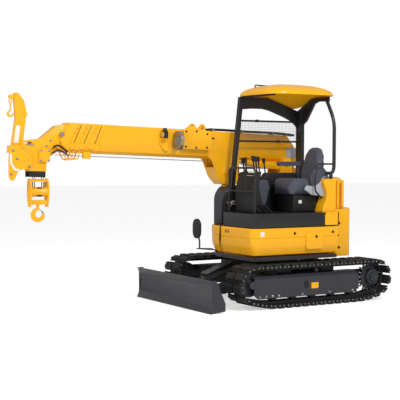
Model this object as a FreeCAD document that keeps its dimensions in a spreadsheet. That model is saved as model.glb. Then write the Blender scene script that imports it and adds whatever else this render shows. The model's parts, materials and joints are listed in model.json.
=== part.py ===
import FreeCAD, Part
import math
import os
import re

import Sketcher
from FreeCAD import Placement, Rotation, Vector

# Compact crawler crane with a telescopic boom beside its operator's canopy.
# Millimetres: +X is forward to the blade, +Y is the operator's side, +Z is up.
# The origin lies on the slewing axis at ground level.

doc = FreeCAD.newDocument("crawler_crane")
sheet = doc.addObject("Spreadsheet::Sheet", "Dimensions")

# name, value in mm or degrees
DIMENSIONS = [
    # undercarriage
    ("track_gauge", 1586), ("shoe_width", 400), ("wheel_base", 2005),
    ("track_height", 575), ("track_wrap", 262), ("contact_length", 1520),
    ("roll_up_radius", 120), ("pad_depth", 34), ("plate_depth", 12), ("chain_depth", 46),
    ("chain_width", 130), ("pad_gap", 24), ("shoe_pitch", 135), ("pad_length", 112),
    ("pad_slope", 10), ("pad_rim", 4),
    ("seat_gap", 0.3), ("roller_radius", 68), ("roller_width", 96), ("shaft_radius", 22), ("hub_radius", 104),
    ("hub_reach", 62), ("wheel_width", 60),
    ("idler_gap", 202.5), ("drive_gap", 262.5), ("frame_low", 168), ("frame_high", 420),
    ("frame_outer", 900), ("frame_inner", 690), ("frame_bevel", 60), ("frame_skirt", 14),
    ("frame_box_low", 240), ("wheel_z", 313), ("fork_half", 48), ("fork_plate", 16),
    ("motor_half", 105), ("waist_x", 390), ("waist_y", 420), ("leg_gap", 250),
    ("ring_bore", 210), ("lug_thick", 24), ("lug_radius", 48), ("blade_pin", 22),
    ("blade_eye_half", 26), ("blade_dish", 46), ("end_depth", 225), ("end_thick", 16),
    ("body_half_length", 470), ("body_low", 300), ("body_high", 500), ("ring_radius", 340),
    ("ring_top", 590),
    # blade
    ("blade_front", 1680), ("blade_depth", 150), ("blade_height", 410), ("blade_width", 1926),
    ("blade_skin", 22), ("blade_rest", 4), ("blade_pivot_x", 560), ("blade_pivot_z", 300),
    ("blade_arm_y", 330), ("blade_arm_thick", 60),
    ("cylinder_low_x", 1430), ("cylinder_low_z", 235), ("cylinder_high_x", 700),
    ("cylinder_high_z", 505), ("blade_barrel_radius", 45), ("blade_rod_radius", 24),
    ("blade_run_in", 96), ("tie_top", 164),
    # upper structure
    ("deck_low", 615), ("deck_thick", 35), ("skirt_low", 690), ("skirt_top", 1030),
    ("skirt_line", 950), ("skirt_tuck", 70), ("skirt_wall", 12), ("nose_x", 985),
    ("left_y", 880), ("right_y", -900), ("tail_radius", 1010), ("skirt_rear", -390),
    ("corner_cut", 470), ("floor_top", 1215), ("floor_inset", 35), ("floor_right", -64),
    ("floor_rear", -432), ("plinth_inset", 45),
    ("weight_low", 612), ("weight_high", 1250), ("weight_y", 760), ("weight_depth", 190),
    ("weight_rim", 28.165), ("block_gap", 30),
    ("hood_top", 1680), ("hood_radius", 925), ("hood_front", -440), ("hood_left", 700),
    ("hood_right", -120), ("hood_wall", 14),
    # boom
    ("pivot_x", -300), ("boom_y", -330), ("pivot_z", 1860), ("rest_angle", 1.84),
    ("boom_top", 400), ("boom_crease", 140), ("boom_lower", 60), ("boom_bottom", 25),
    ("boom_half", 130), ("boom_half_lower", 112), ("boom_half_bottom", 62),
    ("boom_wall", 8), ("tube_step", 13), ("collar_pitch", 130), ("collar_length", 90),
    ("base_front", 2935), ("collar_slant", 112), ("collar_back", 35), ("stroke", 2120),
    ("pivot_pin", 40),
    # derrick cylinder
    ("rod_eye_x", 1024), ("rod_eye_z", -154), ("derrick_x", -100), ("derrick_z", 800),
    ("derrick_barrel_radius", 78), ("derrick_rod_radius", 50), ("eye_radius", 62),
    ("bracket_low", -319), ("bracket_cheek", 20),
    ("cheek_gap", 8), ("cheek_thick", 26), ("derrick_eye_half", 52), ("seam_y", 100),
    ("seam_gap", 6), ("foot_radius", 78), ("blade_eye_radius", 44), ("cover_top", 1562),
    # boom head, hook and searcher arm
    ("head_top_x", 3494), ("sheave_x", 3702), ("sheave_z", -150), ("sheave_radius", 82),
    ("nose_half", 78), ("nose_slot", 54), ("head_low", -222), ("head_rear", 3622),
    ("head_front", 3850), ("arm_pivot_x", 3905), ("arm_pivot_z", -76),
    ("fork_gap", 6), ("fork_cheek", 20), ("bumper_depth", 84), ("block_half", 124),
    ("block_side", 66), ("block_height", 355), ("hook_drop", 212),
    ("block_drop", 162), ("hook_bowl", 66), ("hook_thick", 19), ("trunnion_lift", 30),
    ("winch_x", -560), ("winch_z", 1490),
    ("fall_radius", 5), ("fall_top", 59.6), ("fall_x", 59), ("fall_y", 33),
    # operator's station
    ("seat_x", -30), ("seat_y", 420), ("seat_half", 240), ("seat_top", 1690),
    ("post_right_y", -30), ("post_left_y", 800), ("post_rear_x", -384),
    ("roof_front", 660), ("roof_rear", -460), ("roof_left", 850), ("roof_right", -130),
    ("roof_lip", 2770), ("roof_top", 2925), ("roof_wall", 14),
]

for row, (name, value) in enumerate(DIMENSIONS, start=1):
    sheet.set("A%d" % row, str(value))
    sheet.setAlias("A%d" % row, name)
doc.recompute()


def term(text):
    """Value of one product such as 'track_gauge/2' or '3*tube_step'."""
    value = 1.0
    pieces = re.split(r"([*/])", text)
    divide = False
    for piece in pieces:
        if piece in ("*", "/"):
            divide = piece == "/"
            continue
        number = sheet.get(piece) if re.match(r"[A-Za-z]", piece) else float(piece)
        value = value / number if divide else value * number
    return value


def size(text):
    """Value of a sum of products such as 'boom_half - boom_wall*2'."""
    total = 0.0
    sign = 1.0
    for token in str(text).split():
        if token in ("+", "-"):
            sign = 1.0 if token == "+" else -1.0
            continue
        if token[0] == "-" and len(token) > 1:
            sign = -sign
            token = token[1:]
        total += sign * term(token)
        sign = 1.0
    return total


def bound(text):
    """The same sum as an expression that reads the sheet."""
    return re.sub(r"[A-Za-z_]\w*", lambda found: "Dimensions." + found.group(0), str(text))


def negative(text):
    return "0 - (" + text + ")"


# Parametric bodies: a sketch on a base plane, each corner bound to the sheet

def new_body(label):
    body = doc.addObject("PartDesign::Body", label)
    body.Label = label
    return body


def sketch_on(body, plane, level):
    sketch = body.newObject("Sketcher::SketchObject", "Outline")
    support = [item for item in body.Origin.OriginFeatures if item.Role == plane][0]
    sketch.AttachmentSupport = (support, "")
    sketch.MapMode = "FlatFace"
    shift = bound(level)
    if plane == "XZ_Plane":
        shift = negative(shift)
    sketch.setExpression("AttachmentOffset.Base.z", shift)
    return sketch


def fix_point(sketch, geometry, vertex, across, up):
    place = (("DistanceX", across), ("DistanceY", up))
    for kind, text in place:
        rule = Sketcher.Constraint(kind, -1, 1, geometry, vertex, size(text))
        index = sketch.addConstraint(rule)
        sketch.setExpression("Constraints[%d]" % index, bound(text))


def outline(body, plane, level, corners, holes=()):
    """Closed outline through (across, up) corners, with (across, up, radius) holes."""
    sketch = sketch_on(body, plane, level)
    points = [Vector(size(across), size(up), 0) for across, up in corners]
    count = len(points)
    for index in range(count):
        edge = Part.LineSegment(points[index], points[(index + 1) % count])
        sketch.addGeometry(edge, False)
    for index in range(count):
        joined = Sketcher.Constraint("Coincident", index, 2, (index + 1) % count, 1)
        sketch.addConstraint(joined)
    for index, (across, up) in enumerate(corners):
        fix_point(sketch, index, 1, across, up)
    for across, up, radius in holes:
        circle = Part.Circle(Vector(size(across), size(up), 0), Vector(0, 0, 1), size(radius))
        geometry = sketch.addGeometry(circle, False)
        fix_point(sketch, geometry, 3, across, up)
        index = sketch.addConstraint(Sketcher.Constraint("Radius", geometry, size(radius)))
        sketch.setExpression("Constraints[%d]" % index, bound(radius))
    return sketch


def pad(body, plane, level, thickness, corners, holes=()):
    """Plate of a thickness, half on each side of its level."""
    feature = body.newObject("PartDesign::Pad", "Pad")
    sketch = outline(body, plane, level, corners, holes)
    feature.Profile = sketch
    feature.SideType = "Symmetric"
    feature.setExpression("Length", bound(thickness))
    sketch.Visibility = False
    body.Tip = feature
    return feature


def pocket(body, plane, level, thickness, corners, holes=()):
    feature = body.newObject("PartDesign::Pocket", "Pocket")
    sketch = outline(body, plane, level, corners, holes)
    feature.Profile = sketch
    feature.SideType = "Symmetric"
    feature.setExpression("Length", bound(thickness))
    sketch.Visibility = False
    body.Tip = feature
    return feature


def soften(body, radius, chosen):
    """Fillet on the edges for which chosen(edge) is true."""
    doc.recompute()
    base = body.Tip
    names = ["Edge%d" % (i + 1) for i, edge in enumerate(base.Shape.Edges) if chosen(edge)]
    feature = body.newObject("PartDesign::Fillet", "Fillet")
    feature.Base = (base, names)
    feature.setExpression("Radius", bound(radius))
    body.Tip = feature
    return feature


def along(axis):
    """Test for straight edges that run along an axis."""
    def test(edge):
        if not isinstance(edge.Curve, Part.Line):
            return False
        return abs(abs(edge.Curve.Direction.dot(axis)) - 1) < 1e-6
    return test


# Plain shapes for pieces that no sketch fits

def box(low, high):
    low = [size(value) for value in low]
    high = [size(value) for value in high]
    span = [b - a for a, b in zip(low, high)]
    return Part.makeBox(span[0], span[1], span[2], Vector(*low))


def rod(start, end, radius):
    start = Vector(*[size(value) for value in start])
    end = Vector(*[size(value) for value in end])
    return Part.makeCylinder(size(radius), (end - start).Length, start, end - start)


def plate(corners, low, high, axis="y"):
    """Flat plate: corners in the plane across an axis, from low to high along it."""
    low = size(low)
    high = size(high)
    spots = {
        "x": lambda a, b: Vector(low, a, b),
        "y": lambda a, b: Vector(a, low, b),
        "z": lambda a, b: Vector(a, b, low),
    }
    points = [spots[axis](size(a), size(b)) for a, b in corners]
    face = Part.Face(Part.makePolygon(points + points[:1]))
    step = {"x": Vector(1, 0, 0), "y": Vector(0, 1, 0), "z": Vector(0, 0, 1)}[axis]
    return face.extrude(step * (high - low))


def bent_path(points, radius):
    """Wire through points with its corners rounded to a radius."""
    spots = [Vector(*[size(value) for value in point]) for point in points]
    edges = []
    last = spots[0]
    for index in range(1, len(spots) - 1):
        here = spots[index]
        back = (spots[index - 1] - here).normalize()
        ahead = (spots[index + 1] - here).normalize()
        half = back.getAngle(ahead) / 2
        run = radius / math.tan(half)
        first = here + back * run
        second = here + ahead * run
        inward = (back + ahead).normalize()
        middle = here + inward * (radius / math.sin(half) - radius)
        edges.append(Part.LineSegment(last, first).toShape())
        edges.append(Part.Arc(first, middle, second).toShape())
        last = second
    edges.append(Part.LineSegment(last, spots[-1]).toShape())
    return Part.Wire(edges)


def bent_tube(points, thickness, radius):
    path = bent_path(points, radius)
    start = path.Edges[0]
    heading = start.tangentAt(start.FirstParameter)
    ring = Part.Circle(start.valueAt(start.FirstParameter), heading, thickness)
    return path.makePipeShell([Part.Wire(ring.toShape())], True, False)


def piece(label, shape, place=None):
    """Sub-part whose shape comes from plain solids joined together."""
    feature = doc.addObject("Part::Feature", label)
    feature.Label = label
    feature.Shape = shape.removeSplitter()
    feature.Placement = place or Placement()
    return feature


def loose_piece(label, shape, place=None):
    """Sub-part of several solids that don't touch."""
    feature = doc.addObject("Part::Feature", label)
    feature.Label = label
    feature.Shape = shape
    feature.Placement = place or Placement()
    return feature


def joined(shapes):
    return shapes[0].multiFuse(shapes[1:])


SIDES = (("left", 1), ("right", -1))

# Tracks: one closed loop of shoes with split rubber pads on a steel chain


def belt_corners(inset):
    """Circles that the loop runs round, front to rear along the ground."""
    wrap = size("track_wrap") - inset
    roll = size("roll_up_radius") - inset
    wheel_x = size("wheel_base/2")
    wheel_z = size("track_height - track_wrap")
    roll_x = size("contact_length/2")
    roll_z = size("roll_up_radius")
    return [
        (wheel_x, wheel_z, wrap), (roll_x, roll_z, roll),
        (-roll_x, roll_z, roll), (-wheel_x, wheel_z, wrap),
    ]


def belt_edges(inset):
    """Straight runs and arcs of the loop, clockwise as seen from the left side."""
    circles = belt_corners(inset)
    runs = []
    for index, (x1, z1, r1) in enumerate(circles):
        x2, z2, r2 = circles[(index + 1) % len(circles)]
        gap = math.hypot(x2 - x1, z2 - z1)
        heading = math.atan2(z2 - z1, x2 - x1)
        normal = heading + math.acos((r1 - r2) / gap)
        side = Vector(math.cos(normal), 0, math.sin(normal))
        first = Vector(x1, 0, z1) + side * r1
        second = Vector(x2, 0, z2) + side * r2
        runs.append((first, second))
    edges = []
    for index, (first, second) in enumerate(runs):
        edges.append(("run", first, second, None))
        x2, z2, r2 = circles[(index + 1) % len(circles)]
        centre = Vector(x2, 0, z2)
        follow = runs[(index + 1) % len(runs)][0]
        bisector = (second - centre) + (follow - centre)
        if bisector.Length < 1e-6:
            bisector = Vector(x2, 0, 0)
        middle = centre + bisector.normalize() * r2
        edges.append(("arc", second, follow, middle))
    return edges


def belt_joints():
    """Link pins: evenly spaced spots on the loop, each with its outward direction."""
    pin_inset = size("pad_depth + plate_depth + chain_depth/2")
    edges = []
    for kind, first, second, middle in belt_edges(pin_inset):
        if kind == "run":
            edges.append(Part.LineSegment(first, second).toShape())
        else:
            edges.append(Part.Arc(first, middle, second).toShape())
    loop = Part.Wire(edges)
    count = int(round(loop.Length / size("shoe_pitch")))
    spots = loop.discretize(Number=count * 4 + 1)
    joints = []
    for index in range(count):
        ahead = (spots[index * 4 + 1] - spots[index * 4 - (1 if index else -count * 4 + 1)])
        ahead.normalize()
        joints.append((spots[index * 4], Vector(-ahead.z, 0, ahead.x)))
    return joints


def belt_layer(joints, rise):
    return [spot + outward * rise for spot, outward in joints]


def belt_shoes(joints, profile):
    """Outline with a (reach, rise) profile standing on each link."""
    points = []
    for index, (spot, outward) in enumerate(joints):
        follow = joints[(index + 1) % len(joints)][0]
        heading = (follow - spot).normalize()
        upward = Vector(-heading.z, 0, heading.x)
        middle = (spot + follow) * 0.5
        points += [middle + heading * reach + upward * rise for reach, rise in profile]
    return points


def ring_plate(outer, inner, low, high):
    """Closed band between two outlines, from one side of the track to the other."""
    shift = Vector(0, low, 0)
    faces = []
    for points in (outer, inner):
        spots = [point + shift for point in points]
        faces.append(Part.Face(Part.makePolygon(spots + spots[:1])))
    return faces[0].cut(faces[1]).extrude(Vector(0, high - low, 0))


def track_loop(side):
    middle = side * size("track_gauge/2")
    half = size("shoe_width/2")
    joints = belt_joints()
    chain_half = size("chain_depth/2")
    plate_top = chain_half + size("plate_depth")
    pad_top = plate_top + size("pad_depth")
    foot = size("pad_length/2")
    crown = foot - size("pad_slope")
    plates = belt_shoes(joints, ((-foot, plate_top), (foot, plate_top)))
    pads = belt_shoes(joints, ((-foot, plate_top), (-crown, pad_top), (crown, pad_top),
                               (foot, plate_top)))
    under = belt_layer(joints, chain_half)
    inner = belt_layer(joints, -chain_half)
    chain_outer = belt_layer(joints, chain_half + 1)
    link_half = size("chain_width/2")
    gap_half = size("pad_gap/2")
    rim = size("pad_rim")
    bands = [
        ring_plate(plates, under, middle - half, middle + half),
        ring_plate(pads, under, middle - half + rim, middle - gap_half),
        ring_plate(pads, under, middle + gap_half, middle + half - rim),
        ring_plate(chain_outer, inner, middle - link_half, middle + link_half),
    ]
    return joined(bands)


for side_name, side in SIDES:
    piece("track_" + side_name, track_loop(side))

# Running gear: idler, sprocket, track rollers and a carrier roller on each side


def running_gear(side):
    middle = side * size("track_gauge/2")
    depth = size("pad_depth + plate_depth + chain_depth")
    pin_radius = size("track_wrap") - depth + size("chain_depth/2")
    half_link = size("shoe_pitch/2") / pin_radius
    wheel = pin_radius * math.cos(half_link) - size("chain_depth/2 + seat_gap")
    wheel_z = size("track_height - track_wrap")
    half = size("wheel_width/2")
    solids = []
    across = Vector(0, 1, 0)
    idler = Part.makeCylinder(wheel, 2 * half, Vector(size("wheel_base/2"), middle - half, wheel_z),
                              across)
    hub = Part.makeCylinder(wheel * 0.42, 3.2 * half,
                            Vector(size("wheel_base/2"), middle - 1.6 * half, wheel_z), across)
    solids.append(idler.fuse(hub))
    sprocket = Part.makeCylinder(wheel, 2 * half,
                                 Vector(size("-wheel_base/2"), middle - half, wheel_z), across)
    hub_end = middle + side * (half + size("hub_reach"))
    start = min(middle - side * half * 2, hub_end)
    length = abs(hub_end - (middle - side * half * 2))
    drive = Part.makeCylinder(size("hub_radius"), length,
                              Vector(size("-wheel_base/2"), start, wheel_z), across)
    solids.append(sprocket.fuse(drive))
    roller = size("roller_radius")
    roller_half = size("roller_width/2")
    roller_z = depth + roller + size("seat_gap")
    last = size("contact_length/2") - 120
    for index in range(5):
        x = -last + index * last / 2
        wheel_shape = Part.makeCylinder(roller, 2 * roller_half,
                                        Vector(x, middle - roller_half, roller_z), across)
        shaft_low = size("frame_inner + frame_skirt + seat_gap")
        shaft_high = size("frame_outer - frame_skirt - seat_gap")
        shaft_start = shaft_low if side > 0 else -shaft_high
        shaft = Part.makeCylinder(size("shaft_radius"), shaft_high - shaft_low,
                                  Vector(x, shaft_start, roller_z), across)
        solids.append(wheel_shape.fuse(shaft))
    carrier = (size("track_height - frame_high - 2*seat_gap") - depth) / 2
    carrier_z = size("frame_high + seat_gap") + carrier
    solids.append(Part.makeCylinder(carrier, 2 * roller_half,
                                    Vector(-60, middle - roller_half, carrier_z), across))
    return Part.makeCompound(solids)


for side_name, side in SIDES:
    loose_piece("running_gear_" + side_name, running_gear(side))


# Track frames: an open-bottomed box with skirts beside the rollers

for side_name, side in SIDES:
    flip = "" if side > 0 else "-"
    other = "-" if side > 0 else ""
    frame = new_body("side_frame_" + side_name)
    inner, outer = flip + "frame_inner", flip + "frame_outer"
    plus, minus = (" + ", " - ") if side > 0 else (" - ", " + ")
    section = [
        (inner, "frame_low"), (inner, "frame_high"),
        (outer + minus + "frame_bevel", "frame_high"), (outer, "frame_high - frame_bevel"),
        (outer, "frame_low"), (outer + minus + "frame_skirt", "frame_low"),
        (outer + minus + "frame_skirt", "frame_box_low"),
        (inner + plus + "frame_skirt", "frame_box_low"), (inner + plus + "frame_skirt", "frame_low"),
    ]
    pad(frame, "YZ_Plane", "drive_gap/2 - idler_gap/2", "wheel_base - idler_gap - drive_gap", section)
    middle = flip + "track_gauge/2"
    fork = [
        ("wheel_base/2 - idler_gap - 60", "wheel_z - fork_half"),
        ("wheel_base/2 + fork_half", "wheel_z - fork_half"),
        ("wheel_base/2 + fork_half", "wheel_z + fork_half"),
        ("wheel_base/2 - idler_gap - 60", "wheel_z + fork_half"),
    ]
    hub_gap = "wheel_width*0.8 + seat_gap"
    for way in (" + ", " - "):
        level = middle + way + "wheel_width*0.8" + way + "seat_gap" + way + "fork_plate/2"
        pad(frame, "XZ_Plane", level, "fork_plate", fork)
    motor = [
        ("drive_gap - wheel_base/2 + 60", "wheel_z - motor_half"),
        ("-wheel_base/2 - 30", "wheel_z - motor_half"),
        ("-wheel_base/2 - motor_half", "wheel_z - 30"), ("-wheel_base/2 - motor_half", "wheel_z + 30"),
        ("-wheel_base/2 - 30", "wheel_z + motor_half"),
        ("drive_gap - wheel_base/2 + 60", "wheel_z + motor_half"),
    ]
    motor_level = middle + minus + "wheel_width" + minus + "seat_gap" + minus + "fork_plate/2"
    pad(frame, "XZ_Plane", motor_level, "fork_plate", motor)
    window = [("160", "225"), ("225", "225"), ("225", "315"), ("160", "315")]
    pocket(frame, "XZ_Plane", outer, "40", window)

# Car body: a cross-shaped frame between the track frames, with blade lugs

car = new_body("car_body")
leg = "body_half_length"
reach = "frame_inner - seat_gap"
waist = "ring_radius + 20"
plan = [
    (leg, "-" + "frame_inner + seat_gap"), (leg, "-waist_y"), ("waist_x", "-waist_y + 120"),
    ("waist_x", "waist_y - 120"), (leg, "waist_y"), (leg, reach), ("leg_gap", reach),
    ("leg_gap - 60", "waist_y"), ("-leg_gap + 60", "waist_y"), ("-leg_gap", reach),
    ("-" + leg, reach), ("-" + leg, "waist_y"), ("-waist_x", "waist_y - 120"),
    ("-waist_x", "-waist_y + 120"), ("-" + leg, "-waist_y"), ("-" + leg, "-frame_inner + seat_gap"),
    ("-leg_gap", "-frame_inner + seat_gap"), ("-leg_gap + 60", "-waist_y"),
    ("leg_gap - 60", "-waist_y"), ("leg_gap", "-frame_inner + seat_gap"),
]
pad(car, "XY_Plane", "body_low/2 + body_high/2", "body_high - body_low", plan)
arm_lug = [
    ("waist_x - 20", "blade_pivot_z - 60"), ("blade_pivot_x", "blade_pivot_z - lug_radius"),
    ("blade_pivot_x + lug_radius", "blade_pivot_z - 20"),
    ("blade_pivot_x + lug_radius", "blade_pivot_z + 20"),
    ("blade_pivot_x", "blade_pivot_z + lug_radius"), ("waist_x - 20", "blade_pivot_z + 120"),
]
pin_hole = [("blade_pivot_x", "blade_pivot_z", "blade_pin + seat_gap")]
for way in ("", "-"):
    for shift in (" + ", " - "):
        level = way + "blade_arm_y" + shift + "blade_arm_thick/2" + shift + "fork_gap" + shift + "lug_thick/2"
        pad(car, "XZ_Plane", level, "lug_thick", arm_lug)
high_lug = [
    ("waist_x - 20", "body_high - 120"), ("cylinder_high_x", "cylinder_high_z - lug_radius"),
    ("cylinder_high_x + lug_radius", "cylinder_high_z - 20"),
    ("cylinder_high_x + lug_radius", "cylinder_high_z + 20"),
    ("cylinder_high_x", "cylinder_high_z + lug_radius"), ("waist_x - 20", "body_high"),
]
for shift in ("", "-"):
    level = shift + "lug_thick/2 + " + shift + "blade_eye_half + " + shift + "seat_gap"
    pad(car, "XZ_Plane", level, "lug_thick", high_lug)

ring = rod(("0", "0", "body_high"), ("0", "0", "ring_top"), "ring_radius")
piece("slew_ring", ring.cut(rod(("0", "0", "body_high - 1"), ("0", "0", "ring_top + 1"), "ring_bore")))

# Blade: a curved board with end plates, on two arms, lifted by one cylinder


def blade_board():
    front = size("blade_front")
    low = size("blade_rest")
    high = low + size("blade_height")
    skin = size("blade_skin")
    dish = size("blade_dish")
    tip = Vector(front, 0, low)
    crown = Vector(front - 8, 0, high)
    hollow = Vector(front - dish, 0, low + (high - low) * 0.5)
    back_low = Vector(front - skin * 1.6, 0, low)
    back_high = Vector(front - 8 - skin, 0, high)
    back = Vector(front - dish - skin, 0, low + (high - low) * 0.5)
    edges = [
        Part.Arc(tip, hollow, crown).toShape(), Part.LineSegment(crown, back_high).toShape(),
        Part.Arc(back_high, back, back_low).toShape(), Part.LineSegment(back_low, tip).toShape(),
    ]
    half = size("blade_width/2")
    face = Part.Face(Part.Wire(edges))
    face.translate(Vector(0, -half, 0))
    board = face.extrude(Vector(0, 2 * half, 0))
    side_plate = [
        ("blade_front - 30", low), (front - size("end_depth"), low + 20),
        (front - size("end_depth"), low + 120), ("blade_front - 90", high),
        ("blade_front - 30", high),
    ]
    shapes = [board]
    thick = size("end_thick")
    for start in (-half, half - thick):
        ear = plate(side_plate, start, start + thick)
        shapes.append(ear)
    ledge = plate([("blade_front - blade_dish + 6", "60"), ("blade_front - 210", "60"),
                   ("blade_front - 210", "85"), ("blade_front - blade_dish + 6", "85")],
                  "-blade_width/2 + 40", "blade_width/2 - 40")
    shapes.append(ledge)
    return joined(shapes)


piece("blade_board", blade_board())


def blade_arms():
    shapes = []
    half = size("blade_arm_thick/2")
    profile = [
        ("blade_pivot_x - 20", "blade_pivot_z - 42"), ("blade_pivot_x + 20", "blade_pivot_z - 45"),
        ("blade_front - 210", "90"), ("blade_front - 65", "90"), ("blade_front - 65", "250"),
        ("blade_front - 210", "260"), ("blade_pivot_x + 20", "blade_pivot_z + 45"),
        ("blade_pivot_x - 20", "blade_pivot_z + 42"),
    ]
    for way in (1, -1):
        middle = way * size("blade_arm_y")
        arm = plate(profile, middle - half, middle + half)
        boss = Part.makeCylinder(size("lug_radius - 4"), 2 * half,
                                 Vector(size("blade_pivot_x"), middle - half, size("blade_pivot_z")),
                                 Vector(0, 1, 0))
        pin_half = half + size("fork_gap")
        pin = Part.makeCylinder(size("blade_pin"), 2 * pin_half - 0.4,
                                Vector(size("blade_pivot_x"), middle - pin_half + 0.2,
                                       size("blade_pivot_z")), Vector(0, 1, 0))
        shapes += [arm, boss, pin]
    tie = plate([("blade_front - 330", "110"), ("blade_front - 240", "110"),
                 ("blade_front - 240", "tie_top"), ("blade_front - 330", "tie_top")],
                "-blade_arm_y", "blade_arm_y")
    shapes.append(tie)
    thick = size("lug_thick")
    eye_half = size("blade_eye_half + seat_gap")
    lug = [
        ("blade_front - 80", "140"), ("cylinder_low_x - 20", "cylinder_low_z - 45"),
        ("cylinder_low_x - 45", "cylinder_low_z"), ("cylinder_low_x", "cylinder_low_z + 45"),
        ("blade_front - 80", "330"),
    ]
    for start in (-eye_half - thick, eye_half):
        shapes.append(plate(lug, start, start + thick))
    return joined(shapes).cut(doc.getObject("blade_board").Shape)


piece("blade_arms", blade_arms())


def ram(rod_pin, barrel_pin, barrel_radius, rod_radius, eye_half, y, eye_radius, neck, share, spare):
    """Cylinder between two pins: share is the barrel's part, spare what the rod can still run in."""
    across = Vector(0, 1, 0)
    start = Vector(barrel_pin[0], y, barrel_pin[1])
    end = Vector(rod_pin[0], y, rod_pin[1])
    heading = (end - start).normalize()
    length = (end - start).Length
    eye = Part.makeCylinder(eye_radius, 2 * eye_half, start - across * eye_half, across)
    stem = Part.makeCylinder(eye_half * 0.9, neck + 1, start, heading)
    mouth = length * share
    barrel = Part.makeCylinder(barrel_radius, mouth - neck, start + heading * neck, heading)
    gland_length = barrel_radius * 0.7
    gland = Part.makeCylinder(barrel_radius * 1.12, gland_length,
                              start + heading * (mouth - gland_length), heading)
    floor_depth = neck + barrel_radius * 0.5
    bore = Part.makeCylinder(rod_radius + size("seat_gap"), mouth, start + heading * floor_depth, heading)
    body = eye.multiFuse([stem, barrel, gland]).cut(bore)
    far = Part.makeCylinder(eye_radius * 0.92, 2 * eye_half, end - across * eye_half, across)
    run = length - floor_depth - spare - size("seat_gap")
    shaft = Part.makeCylinder(rod_radius, run, end, heading * -1)
    return body, far.fuse(shaft)


low_pin = (size("cylinder_low_x"), size("cylinder_low_z"))
high_pin = (size("cylinder_high_x"), size("cylinder_high_z"))
barrel, ram_rod = ram(low_pin, high_pin, size("blade_barrel_radius"), size("blade_rod_radius"),
                      size("blade_eye_half"), 0, size("blade_eye_radius"), size("lug_radius + 14"), 0.72,
                      size("blade_run_in"))
piece("blade_cylinder_barrel", barrel)
piece("blade_cylinder_rod", ram_rod)

# Revolving frame: deck, boom foot cheeks and the derrick cylinder's foot

DECK = [
    ("nose_x - 40", "100"), ("nose_x - 40", "left_y - 60"), ("-400", "left_y - 60"),
    ("-560", "500"), ("-560", "-500"), ("-400", "right_y + 60"), ("250", "right_y + 60"),
    ("700", "-440"),
]


def revolving_frame():
    low, high = size("deck_low"), size("deck_low + deck_thick")
    deck = plate(DECK, low, high, "z")
    race = rod(("0", "0", "ring_top + seat_gap"), ("0", "0", "deck_low + 1"), "ring_radius - 30")
    shapes = [deck, race]
    inner = size("boom_half + cheek_gap")
    thick = size("cheek_thick")
    centre = size("boom_y")
    pivot = ("pivot_x", "pivot_z")
    profile = [
        ("-600", high - 1), ("250", high - 1), ("180", "900"), ("-120", "1300"),
        ("pivot_x + 95", "pivot_z - 20"), ("pivot_x + 60", "pivot_z + 65"),
        ("pivot_x", "pivot_z + 88"), ("pivot_x - 60", "pivot_z + 65"),
        ("pivot_x - 95", "pivot_z - 20"), ("-640", "1640"), ("-680", "1560"), ("-680", "1340"),
        ("-600", "1200"),
    ]
    for way in (1, -1):
        low_y, high_y = sorted((centre + way * inner, centre + way * (inner + thick)))
        shapes.append(plate(profile, low_y, high_y))
    foot = [
        ("derrick_x - 150", high - 1), ("derrick_x + 150", high - 1), ("derrick_x + 60", "derrick_z + 30"),
        ("derrick_x + 25", "derrick_z + foot_radius - 6"),
        ("derrick_x - 25", "derrick_z + foot_radius - 6"), ("derrick_x - 60", "derrick_z + 30"),
    ]
    eye_half = size("derrick_eye_half + seat_gap")
    for way in (1, -1):
        low_y, high_y = sorted((centre + way * eye_half, centre + way * (eye_half + 30)))
        shapes.append(plate(foot, low_y, high_y))
    web = plate([("-600", high - 1), ("-570", high - 1), ("-570", "1190"), ("-600", "1190")],
                centre - inner - 1, centre + inner + 1)
    shapes.append(web)
    pin = Part.makeCylinder(size("pivot_pin"), 2 * (inner + thick) + 24,
                            Vector(size("pivot_x"), centre - inner - thick - 12, size("pivot_z")),
                            Vector(0, 1, 0))
    shapes.append(pin)
    return joined(shapes)


piece("revolving_frame", revolving_frame())

engine = new_body("engine_block")
pad(engine, "XY_Plane", "deck_low + deck_thick + seat_gap + 240", "480",
    [("weight_depth + block_gap - tail_radius", "-60"), ("-450", "-60"),
     ("-450", "480"), ("weight_depth + block_gap - tail_radius", "480")])


def tail_weight():
    low, high = size("weight_low"), size("weight_high")
    disc = rod(("0", "0", "weight_low"), ("0", "0", "weight_high"), "tail_radius")
    half = size("weight_y")
    front = size("floor_rear - seat_gap")
    keep = Part.makeBox(900, 2 * half, high - low, Vector(front - 900, -half, low))
    slab = disc.common(keep)
    inside = size("weight_depth - tail_radius")
    corner = size("tail_radius - weight_rim")
    wide = math.sqrt(corner ** 2 - inside ** 2)
    hollow = Part.makeBox(front - inside + 100, 2 * wide, high, Vector(inside, -wide, low - 10))
    slab = slab.cut(hollow)
    deck = plate(DECK, low - 20, size("deck_low + deck_thick + seat_gap"), "z")
    return slab.cut(deck)


piece("counterweight", tail_weight())

# Engine hood: a domed cover with a rounded tail, hinged at its front top edge


def hood():
    low = size("weight_high + seat_gap")
    high = size("hood_top")
    front = size("hood_front")
    left, right = size("hood_left"), size("hood_right")
    wall = size("hood_wall")
    shells = []
    for inset in (0, wall):
        radius = size("hood_radius") - inset
        height = high - inset - low + (20 if inset else 0)
        disc = Part.makeCylinder(radius, height, Vector(0, 0, low - (20 if inset else 0)))
        keep = Part.makeBox(front + 2000, left - right - 2 * inset, height,
                            Vector(-2000 - inset, right + inset, low - (20 if inset else 0)))
        solid = disc.common(keep)
        top = [edge for edge in solid.Edges
               if edge.BoundBox.ZMin > high - inset - 1 and edge.BoundBox.XMin < front - inset - 1]
        shells.append(solid.makeFillet(110 - inset, top))
    return shells[0].cut(shells[1])


piece("engine_hood", hood())

# Body panels round the deck

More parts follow.
